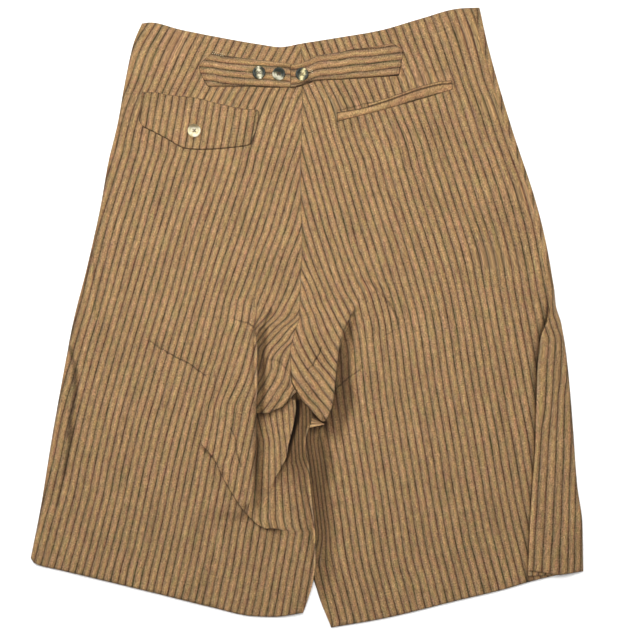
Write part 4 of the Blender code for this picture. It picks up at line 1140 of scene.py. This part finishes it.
# Grid is the cells across and down. First and pitch place stripes that run along the piece, askew by skew
# about middle; lean and through place stripes that run down it. Rims and reach are how much painted shade
# darkens the top, foot, left and right rims and how far in.
trimLooks = dict(
    strapLeft=dict(
        grid=(130, 40), first=0.02, pitch=7.7, skew=0.05, middle=-74.7, rims=(0.5, 0.75, 0.6, 0.0),
        reach=(1.3, 1.9, 1.5, 1.0)),
    strapRight=dict(
        grid=(140, 40), first=-0.05, pitch=8.4, skew=-0.055, middle=46.0, rims=(0.45, 0.88, 0.7, 0.6),
        reach=(1.3, 2.4, 1.4, 1.5)),
    pocketFlap=dict(
        grid=(140, 54), lean=10, through=(-145.4, 244.5), pitch=8.05, stitched=0.3,
        rims=(0.55, 0.82, 0.45, 0.8), reach=(1.2, 1.9, 1.3, 1.8)),
    weltLower=dict(
        grid=(120, 22), first=0.3, pitch=16.0, stitched=0.0, rims=(0.85, 0.4, 0.75, 0.5),
        reach=(2.0, 1.2, 1.4, 1.3)),
    weltUpper=dict(
        grid=(100, 12), first=0.4, pitch=16.0, stitched=0.0, rims=(0.75, 0.5, 0.6, 0.6),
        reach=(1.3, 1.0, 1.5, 1.5)))


def strapCrossingRise(x):
    # the right strap lies on the left one where they cross
    return trims["crossingRise"] * read(strapCrossing, "rise", x)


def buildTrim(name, replaces, top, foot, left, right, rise=np.zeros_like):
    # A patch between two edges and two ends, made from the back's points moved out. It rounds down on a
    # quarter circle at its rim and dips along the line of stitches; painted shade darkens it along the
    # stitches and at its rims.
    look = trimLooks[name]
    across, down = look["grid"]
    part = (0.5 - 0.5 * np.cos(np.linspace(0, math.pi, down + 1)))[:, None]
    share = np.linspace(0, 1, across + 1)[None, :]
    share = share - 0.1 * np.sin(2 * math.pi * share)
    x = mix(left(part), right(part), share)
    y = mix(top(x), foot(x), part)
    fromSides = (top(x) - y, y - foot(x), x - left(part), right(part) - x)
    fromRim = np.min(np.stack(fromSides), axis=0)
    inward = 1 - np.clip(fromRim / trims["roundReach"], 0, 1)
    rounded = trims["edgeRound"] * (1 - np.sqrt(1 - inward ** 2))
    stitched, inset, width = look.get("stitched", 1.0), trims["stitchInset"], trims["stitchWidth"]
    dip = stitched * trims["stitchDip"] * bell(fromRim, inset, width)
    z = lieOfBack(x, y) + levels["trimRise"] - trims["halfWall"] - rounded - dip + rise(x)
    if "lean" in look:
        lean, (throughX, throughY) = math.radians(look["lean"]), look["through"]
        stripe = (x - throughX - math.tan(lean) * (y - throughY)) * math.cos(lean) / look["pitch"]
        along = y / stripePeriod
    else:
        askew = look.get("skew", 0.0) * (x - look.get("middle", 0.0))
        stripe = look["first"] + (top(x) - y + askew) / look["pitch"]
        along = x / stripePeriod
    # painted shade along the stitch line, and painted shadow at each rim
    shade = 1 - stitched * trims["stitchShade"] * bell(fromRim, inset + 0.6, width)
    for distance, dark, reach in zip(fromSides, look["rims"], look["reach"]):
        shade = shade * (1 - dark * between(distance, reach, 0.0))
    return makeCloth(name, x, y, z, stripe, along, shade, linen, replaces, "trim")


strapLeft = buildTrim(
    "strapLeft", "strap_left", line(strapTopLeft, "y"), line(strapFootLeft, "y"), line(strapEndLeft),
    constant(trims["strapHiddenEnd"]))
strapRight = buildTrim(
    "strapRight", "strap_right", line(strapTopRight, "y"), line(strapFootRight, "y"),
    constant(trims["strapFreeEnd"]), line(strapEndRight), strapCrossingRise)
pocketFlap = buildTrim(
    "pocketFlap", "pocket_flap", line(flapTop, "y"), line(flapFoot, "y"), line(flapLeft), line(flapRight))
weltLower = buildTrim(
    "weltLower", "welt_lower", line(weltMouth, "y"), line(weltFoot, "y"), constant(35.0), constant(166.0))
weltUpper = buildTrim(
    "weltUpper", "welt_upper", line(weltMouth, "y", trims["weltGap"] + trims["weltLip"]),
    line(weltMouth, "y", trims["weltGap"]), constant(trims["weltStart"]), constant(165.0))
print("strap, flap and pocket lips made")


# The small corner that folds back under the crotch tongue's tip

foldedCorner = dict(
    upperX=0.6, upperY=-108.5, lowerX=1.4, lowerY=-125.2, tipX=20.0, tipY=-121.0, roll=0.7, leftRise=0.9,
    tipRise=2.6, lowerRise=0.5, stripes=3.1, firstStripe=-0.3, length=2.2, rim=0.7)


def buildFoldedCorner():
    # a fan between its left edge and the tip, whose lower edge rolls under on a half circle; painted shade
    # darkens its upper part and left edge, and a painted highlight lies along the rolled lip
    corner = foldedCorner
    share = np.linspace(0, 1, 27)[None, :]
    flat, bend = np.linspace(0, 1, 20), np.linspace(0, math.pi, 9)[1:]
    down = np.concatenate((flat, np.ones(len(bend))))[:, None]
    around = np.concatenate((np.zeros(len(flat)), bend))[:, None]
    x = mix(mix(corner["upperX"], corner["lowerX"], down), corner["tipX"], share)
    y = mix(mix(corner["upperY"], corner["lowerY"], down), corner["tipY"], share)
    y = y - corner["roll"] * np.sin(around)
    rise = mix(corner["leftRise"], corner["tipRise"], share) + corner["lowerRise"] * down
    z = lieOfBack(x, y) + rise - corner["roll"] * (1 - np.cos(around))
    # painted shade at the top and left, and a painted highlight along the lip
    shade = mix(0.4, 1.0, between(down, 0.1, 0.45)) * mix(0.85, 1.0, between(share, 0.0, 0.2))
    shade = shade + corner["rim"] * bell(down, 0.95, 0.11) * (around < 0.9)
    stripe = corner["stripes"] * down + corner["firstStripe"] + 0 * x
    along = corner["length"] * share + 0 * x
    return makeCloth("foldedCorner", x, y, z, stripe, along, shade, linen, None, "corner")


cornerPiece = buildFoldedCorner()
print("folded corner made")


# Buttons

buttons = dict(
    radius=7.5, holeRadius=0.8, holeOffset=1.7, holes=4, spokes=64, profileSteps=49, threadRise=1.5)
buttonProfile = table(
    "out up", (0, 1.45), (0.45, 1.5), (0.56, 1.75), (0.64, 2.35), (0.74, 2.8), (0.84, 2.95), (0.93, 2.7),
    (0.99, 2.1), (1.0, 1.6))
buttonUnder = dict(out=[0.97, 0.86, 0.5, 0.0], up=[0.9, 0.3, 0.1, 0.0])

# Turn, shift and half are the direction, place and half width of each strap button's cream band
strapButtons = records(
    "which x y lift replaces turn shift half pale",
    ("one", -54.0, 278.3, 0.0, "strap_button_1", -12, 0.4, 3.4, "c2bca1"),
    ("two", -31.5, 276.8, 0.0, "strap_button_2", -60, -3.8, 4.4, "a9a58f"),
    ("three", -5.0, 276.3, trims["crossingRise"], "strap_button_3", 20, 0.8, 3.6, "c5b988"))
flapButton = dict(x=-127.6, y=212.4, lift=0.0, replaces="flap_button", brownReach=5.8)


def hornMaterial(button):
    # Cast resin, polished: a cream band with clouded edges in dark green-black. It shines, and its pattern
    # has soft edges.
    material, tree, shader = newMaterial("polished horn-look resin, " + button["which"], {
        "Roughness": 0.22, "IOR": 1.5})
    add = functools.partial(addNode, tree)
    place = add("TexCoord", output="Object")
    place = add("Mapping", {"Vector": place, "Location": (-button["x"] * mm, -button["y"] * mm, 0)})
    place = add("Mapping", {"Vector": place, "Rotation": (0, 0, math.radians(button["turn"]))})
    cloud = add("TexNoise", {"Vector": place, "Scale": 190.0, "Detail": 2.0, "Distortion": 0.8})
    fromBand = add("Math", (add("SeparateXYZ", (place,)), button["shift"] * mm), operation="SUBTRACT")
    fromBand = add("Math", (fromBand,), operation="ABSOLUTE")
    fromBand = add("Math", (fromBand, 1 / (button["half"] * mm)), operation="MULTIPLY")
    clouded = add("Math", (cloud, 1.7, fromBand), operation="MULTIPLY_ADD")
    clouded = add("Math", (clouded, 0.4), operation="MULTIPLY")
    colour = add("ValToRGB", (clouded,), stops=((0.42, button["pale"]), (0.62, "615e47"), (0.8, "1e231b")))
    tree.links.new(colour, shader.inputs["Base Color"])
    return material


def ivoryMaterial(button):
    # Polished ivory-coloured resin: pale, faintly clouded, and browner towards its top
    material, tree, shader = newMaterial("polished ivory resin", {"Roughness": 0.2, "IOR": 1.5})
    add = functools.partial(addNode, tree)
    place = add("TexCoord", output="Object")
    cloud = add("TexNoise", {"Vector": place, "Scale": 220.0, "Detail": 2.0})
    ivory = add("ValToRGB", (cloud,), stops=((0.3, "b7ab7f"), (0.7, "d9d3bc")))
    up = add("SeparateXYZ", (place,), output=1)
    brown = add("MapRange", {
        "Value": up, "From Min": button["y"] * mm, "From Max": (button["y"] + button["brownReach"]) * mm},
        interpolation_type="SMOOTHSTEP")
    colour = add("Mix", {0: brown, 6: ivory, 7: linear("66583a")}, 2, data_type="RGBA")
    tree.links.new(colour, shader.inputs["Base Color"])
    return material


def buttonSeat(button):
    # how high the button's underside lies
    lie = float(lieOfBack(np.array(button["x"]), np.array(button["y"])))
    return lie + levels["trimRise"] + trims["halfWall"] + button["lift"]


def buildButton(name, button, material):
    # A turned button: the profile runs from the middle of the dished face out over the rim and back under,
    # carried round in rings and tilted with the cloth. Four holes are cut through it.
    x, y, base, reach = button["x"], button["y"], buttonSeat(button), buttons["radius"]
    out = np.concatenate((buttonProfile["out"], buttonUnder["out"])) * reach
    up = np.concatenate((buttonProfile["up"], buttonUnder["up"]))
    fine = np.linspace(0, len(out) - 1, buttons["profileSteps"])
    out, up = np.interp(fine, np.arange(len(out)), out), np.interp(fine, np.arange(len(up)), up)
    spokes, rings = buttons["spokes"], len(out) - 2
    angle = np.arange(spokes) * 2 * math.pi / spokes
    ringX, ringY = out[1:-1, None] * np.cos(angle), out[1:-1, None] * np.sin(angle)
    ringZ = np.repeat(up[1:-1, None], spokes, axis=1)
    slopeX = (lieOfBack(x + reach, y) - lieOfBack(x - reach, y)) / (2 * reach)
    slopeY = (lieOfBack(x, y + reach) - lieOfBack(x, y - reach)) / (2 * reach)
    points = np.concatenate((
        [[0, 0, up[0]]], np.stack((ringX, ringY, ringZ), axis=-1).reshape(-1, 3), [[0, 0, up[-1]]]))
    points[:, 2] += base + points[:, 0] * slopeX + points[:, 1] * slopeY
    points[:, :2] += (x, y)
    turn = np.arange(spokes)
    following = (turn + 1) % spokes
    ring = 1 + np.arange(rings - 1)[:, None] * spokes
    sides = np.stack((
        ring + turn, ring + spokes + turn, ring + spokes + following, ring + following), axis=-1)
    lastRing = 1 + (rings - 1) * spokes
    face = np.stack((0 * turn, 1 + turn, 1 + following), axis=-1)
    under = np.stack((lastRing + turn, 0 * turn + len(points) - 1, lastRing + following), axis=-1)
    faces = sides.reshape(-1, 4).tolist() + face.tolist() + under.tolist()
    piece = addPiece(name, points, faces, material, button["replaces"])
    for index in range(buttons["holes"]):
        around = math.radians(45 + 90 * index)
        holeX = x + buttons["holeOffset"] * math.cos(around)
        holeY = y + buttons["holeOffset"] * math.sin(around)
        bpy.ops.mesh.primitive_cylinder_add(
            vertices=20, radius=buttons["holeRadius"] * mm, depth=8 * mm,
            location=(holeX * mm, holeY * mm, (base + buttons["threadRise"]) * mm))
        pin = bpy.context.object
        cut = piece.modifiers.new("hole", "BOOLEAN")
        cut.operation, cut.object, cut.solver = "DIFFERENCE", pin, "EXACT"
        bpy.context.view_layer.objects.active = piece
        bpy.ops.object.modifier_apply(modifier=cut.name)
        bpy.data.objects.remove(pin, do_unlink=True)


for button in strapButtons:
    buildButton("strapButton" + button["which"].capitalize(), button, hornMaterial(button))
buildButton("flapButton", flapButton, ivoryMaterial(flapButton))
print("buttons made")


# Stitching

stitches = dict(
    edge=dict(spacing=3.0, length=2.1, radius=0.2, colour="7b5e40"), lift=0.02, sides=6, stations=5,
    pale="cabd9c", thread="413121", barLength=4.0, barRadius=0.32, barStep=0.25)


def buildStitches(name, marks, colour):
    # Each stitch is a short tube with tapered ends that arches over the cloth. Marks hold its x, y, z,
    # direction in degrees, length and radius.
    sides, count = stitches["sides"], stitches["stations"]
    x, y, z, degrees, length, radius = np.array(marks, dtype=float).T[:, :, None, None]
    along = np.linspace(-0.5, 0.5, count)[:, None]
    girth = np.sqrt(np.clip(1 - (2 * along) ** 4, 0.05, 1))
    arch = 1 - (2 * along) ** 2
    angle = np.arange(sides) * 2 * math.pi / sides
    direction = np.radians(degrees)
    sideways = radius * girth * np.cos(angle)
    forward = length * along + 0 * sideways
    points = np.stack((
        x + forward * np.cos(direction) - sideways * np.sin(direction),
        y + forward * np.sin(direction) + sideways * np.cos(direction),
        z + radius * (girth * np.sin(angle) + 0.8 * arch)), axis=-1).reshape(-1, 3)
    ring, turn = np.meshgrid(np.arange(count - 1), np.arange(sides), indexing="ij")
    corner, following = (ring * sides + turn).ravel(), (ring * sides + (turn + 1) % sides).ravel()
    quads = np.stack((corner, corner + sides, following + sides, following), axis=-1)
    starts = np.arange(len(marks)) * sides * count
    faces = (quads[None] + starts[:, None, None]).reshape(-1, 4).tolist()
    caps = np.stack((np.arange(sides), (count - 1) * sides + np.arange(sides)[::-1]))
    faces += (caps[None] + starts[:, None, None]).reshape(-1, sides).tolist()
    material = newMaterial(name + " thread, spun cotton", {
        "Roughness": 0.75, "Base Color": linear(colour)})[0]
    addPiece(name, points, faces, material)


def seamMarks(x, y, lift, spacing, length, radius):
    # stitches spaced evenly along a drawn line
    x, y = np.array(x, dtype=float), np.array(y, dtype=float)
    distance = np.concatenate(([0], np.cumsum(np.hypot(np.diff(x), np.diff(y)))))
    where = np.arange(spacing / 2, distance[-1], spacing)
    markX, markY = np.interp(where, distance, x), np.interp(where, distance, y)
    ahead = np.interp(where + 0.5, distance, x) - np.interp(where - 0.5, distance, x)
    aside = np.interp(where + 0.5, distance, y) - np.interp(where - 0.5, distance, y)
    height = lieOfBack(markX, markY) + levels["trimRise"] + stitches["lift"] + lift
    return np.stack((
        markX, markY, height, np.degrees(np.arctan2(aside, ahead)), 0 * markX + length, 0 * markX + radius),
        axis=-1)


def strapMarks(x, top, foot, end, inward):
    # along the strap's lower and upper edges and across its end
    inset, edge = trims["stitchInset"], stitches["edge"]
    partWay = np.linspace(0.06, 0.94, 40)
    endX = read(end, "x", partWay) + inset * inward
    lines = (
        (x, read(foot, "y", x) + inset), (x, read(top, "y", x) - inset),
        (endX, mix(read(top, "y", endX), read(foot, "y", endX), partWay)))
    return np.concatenate([
        seamMarks(*where, 0.0, edge["spacing"], edge["length"], edge["radius"]) for where in lines])


leftMarks = strapMarks(np.linspace(-116, -22, 80), strapTopLeft, strapFootLeft, strapEndLeft, 1)
rightMarks = strapMarks(np.linspace(-14, 104, 90), strapTopRight, strapFootRight, strapEndRight, -1)
rightMarks[:, 2] += strapCrossingRise(rightMarks[:, 0])
buildStitches("edgeStitches", np.concatenate((leftMarks, rightMarks)), stitches["edge"]["colour"])
print("edge stitches made")

# loose pale stitches at the strap's left end and beside its third button
paleX = np.linspace(-108, -93, 20)
crossingRise = trims["crossingRise"]
buildStitches("paleStitches", np.concatenate((
    seamMarks(paleX, read(strapTopLeft, "y", paleX) - 0.6, 0.1, 2.4, 1.5, 0.26),
    seamMarks(paleX + 0.8, read(strapTopLeft, "y", paleX) + 1.6, -1.2, 2.6, 1.3, 0.24),
    seamMarks((1.6, 7.4), (282.6, 280.6), crossingRise, 1.5, 1.3, 0.26),
    seamMarks((1.8, 7.6), (280.4, 278.4), crossingRise, 1.5, 1.3, 0.26),
    seamMarks((4.6, 7.0), (264.6, 263.2), -1.0, 1.2, 1.6, 0.26))), stitches["pale"])

# two bars of thread cross between the holes of each button
buildStitches("buttonThread", [
    (button["x"], button["y"], buttonSeat(button) + buttons["threadRise"] + step, degrees,
     stitches["barLength"], stitches["barRadius"])
    for button in strapButtons + [flapButton] for step, degrees in ((0.0, 45), (stitches["barStep"], 135))],
    stitches["thread"])
print("stitching made")


# Floor, light and camera

floorLook = dict(reach=14.0, z=-0.0005, colour="fafafa")


def buildFloor():
    # one square
    mesh = bpy.data.meshes.new("floor")
    reach = floorLook["reach"]
    corners = [(-reach, -reach, 0), (reach, -reach, 0), (reach, reach, 0), (-reach, reach, 0)]
    mesh.from_pydata(corners, [], [(0, 1, 2, 3)])
    material = newMaterial("plain pale floor", {
        "Roughness": 0.9, "Base Color": linear(floorLook["colour"]), "Specular IOR Level": 0.0})[0]
    mesh.materials.append(material)
    floor = bpy.data.objects.new("floor", mesh)
    bpy.context.scene.collection.objects.link(floor)
    floor.location.z = floorLook["z"]


# Softboxes: place is in metres, aim the point on the floor that each looks at; the one overhead evens out
# the middle and stays out of reflections
studio = dict(world=0.5, softboxes=records(
    "name place aim size power",
    ("leftSoftbox", (-1.2, 1.0, 1.3), (0.0, 0.0, 0.0), 1.2, 16.5),
    ("rightSoftbox", (1.3, 0.9, 1.3), (0.0, 0.0, 0.0), 1.2, 9.6),
    ("topSoftbox", (0.0, 1.5, 1.4), (0.0, 0.0, 0.0), 1.2, 8.4),
    ("overheadSoftbox", (-0.05, 0.14, 0.85), (-0.05, 0.14, 0.0), 0.5, 6.9)))


def addSoftbox(box):
    light = bpy.data.lights.new(box["name"], "AREA")
    light.shape = "SQUARE"
    light.size = box["size"]
    light.energy = box["power"]
    lamp = bpy.data.objects.new(box["name"], light)
    bpy.context.scene.collection.objects.link(lamp)
    lamp.location = box["place"]
    towards = np.array(box["aim"]) - np.array(box["place"])
    lamp.rotation_euler = (
        math.atan2(math.hypot(towards[0], towards[1]), -towards[2]), 0.0,
        math.atan2(towards[1], towards[0]) - math.pi / 2)
    return lamp


buildFloor()
overhead = [addSoftbox(box) for box in studio["softboxes"]][-1]
overhead.visible_camera = False
overhead.visible_glossy = False
world = bpy.data.worlds.new("softRoom")
world.use_nodes = True
background = world.node_tree.nodes["Background"]
background.inputs["Color"].default_value = (1.0, 1.0, 1.0, 1.0)
background.inputs["Strength"].default_value = studio["world"]
bpy.context.scene.world = world
bpy.context.scene.view_settings.view_transform = "Standard"

view = dict(x=0.0114, y=0.0011, height=2.0, widthSeen=0.7216)
camera = bpy.data.objects.new("camera", bpy.data.cameras.new("camera"))
camera.data.lens = camera.data.sensor_width * view["height"] / view["widthSeen"]
camera.location = (view["x"], view["y"], view["height"])
bpy.context.scene.collection.objects.link(camera)
bpy.context.scene.camera = camera
print("floor, light and camera made")
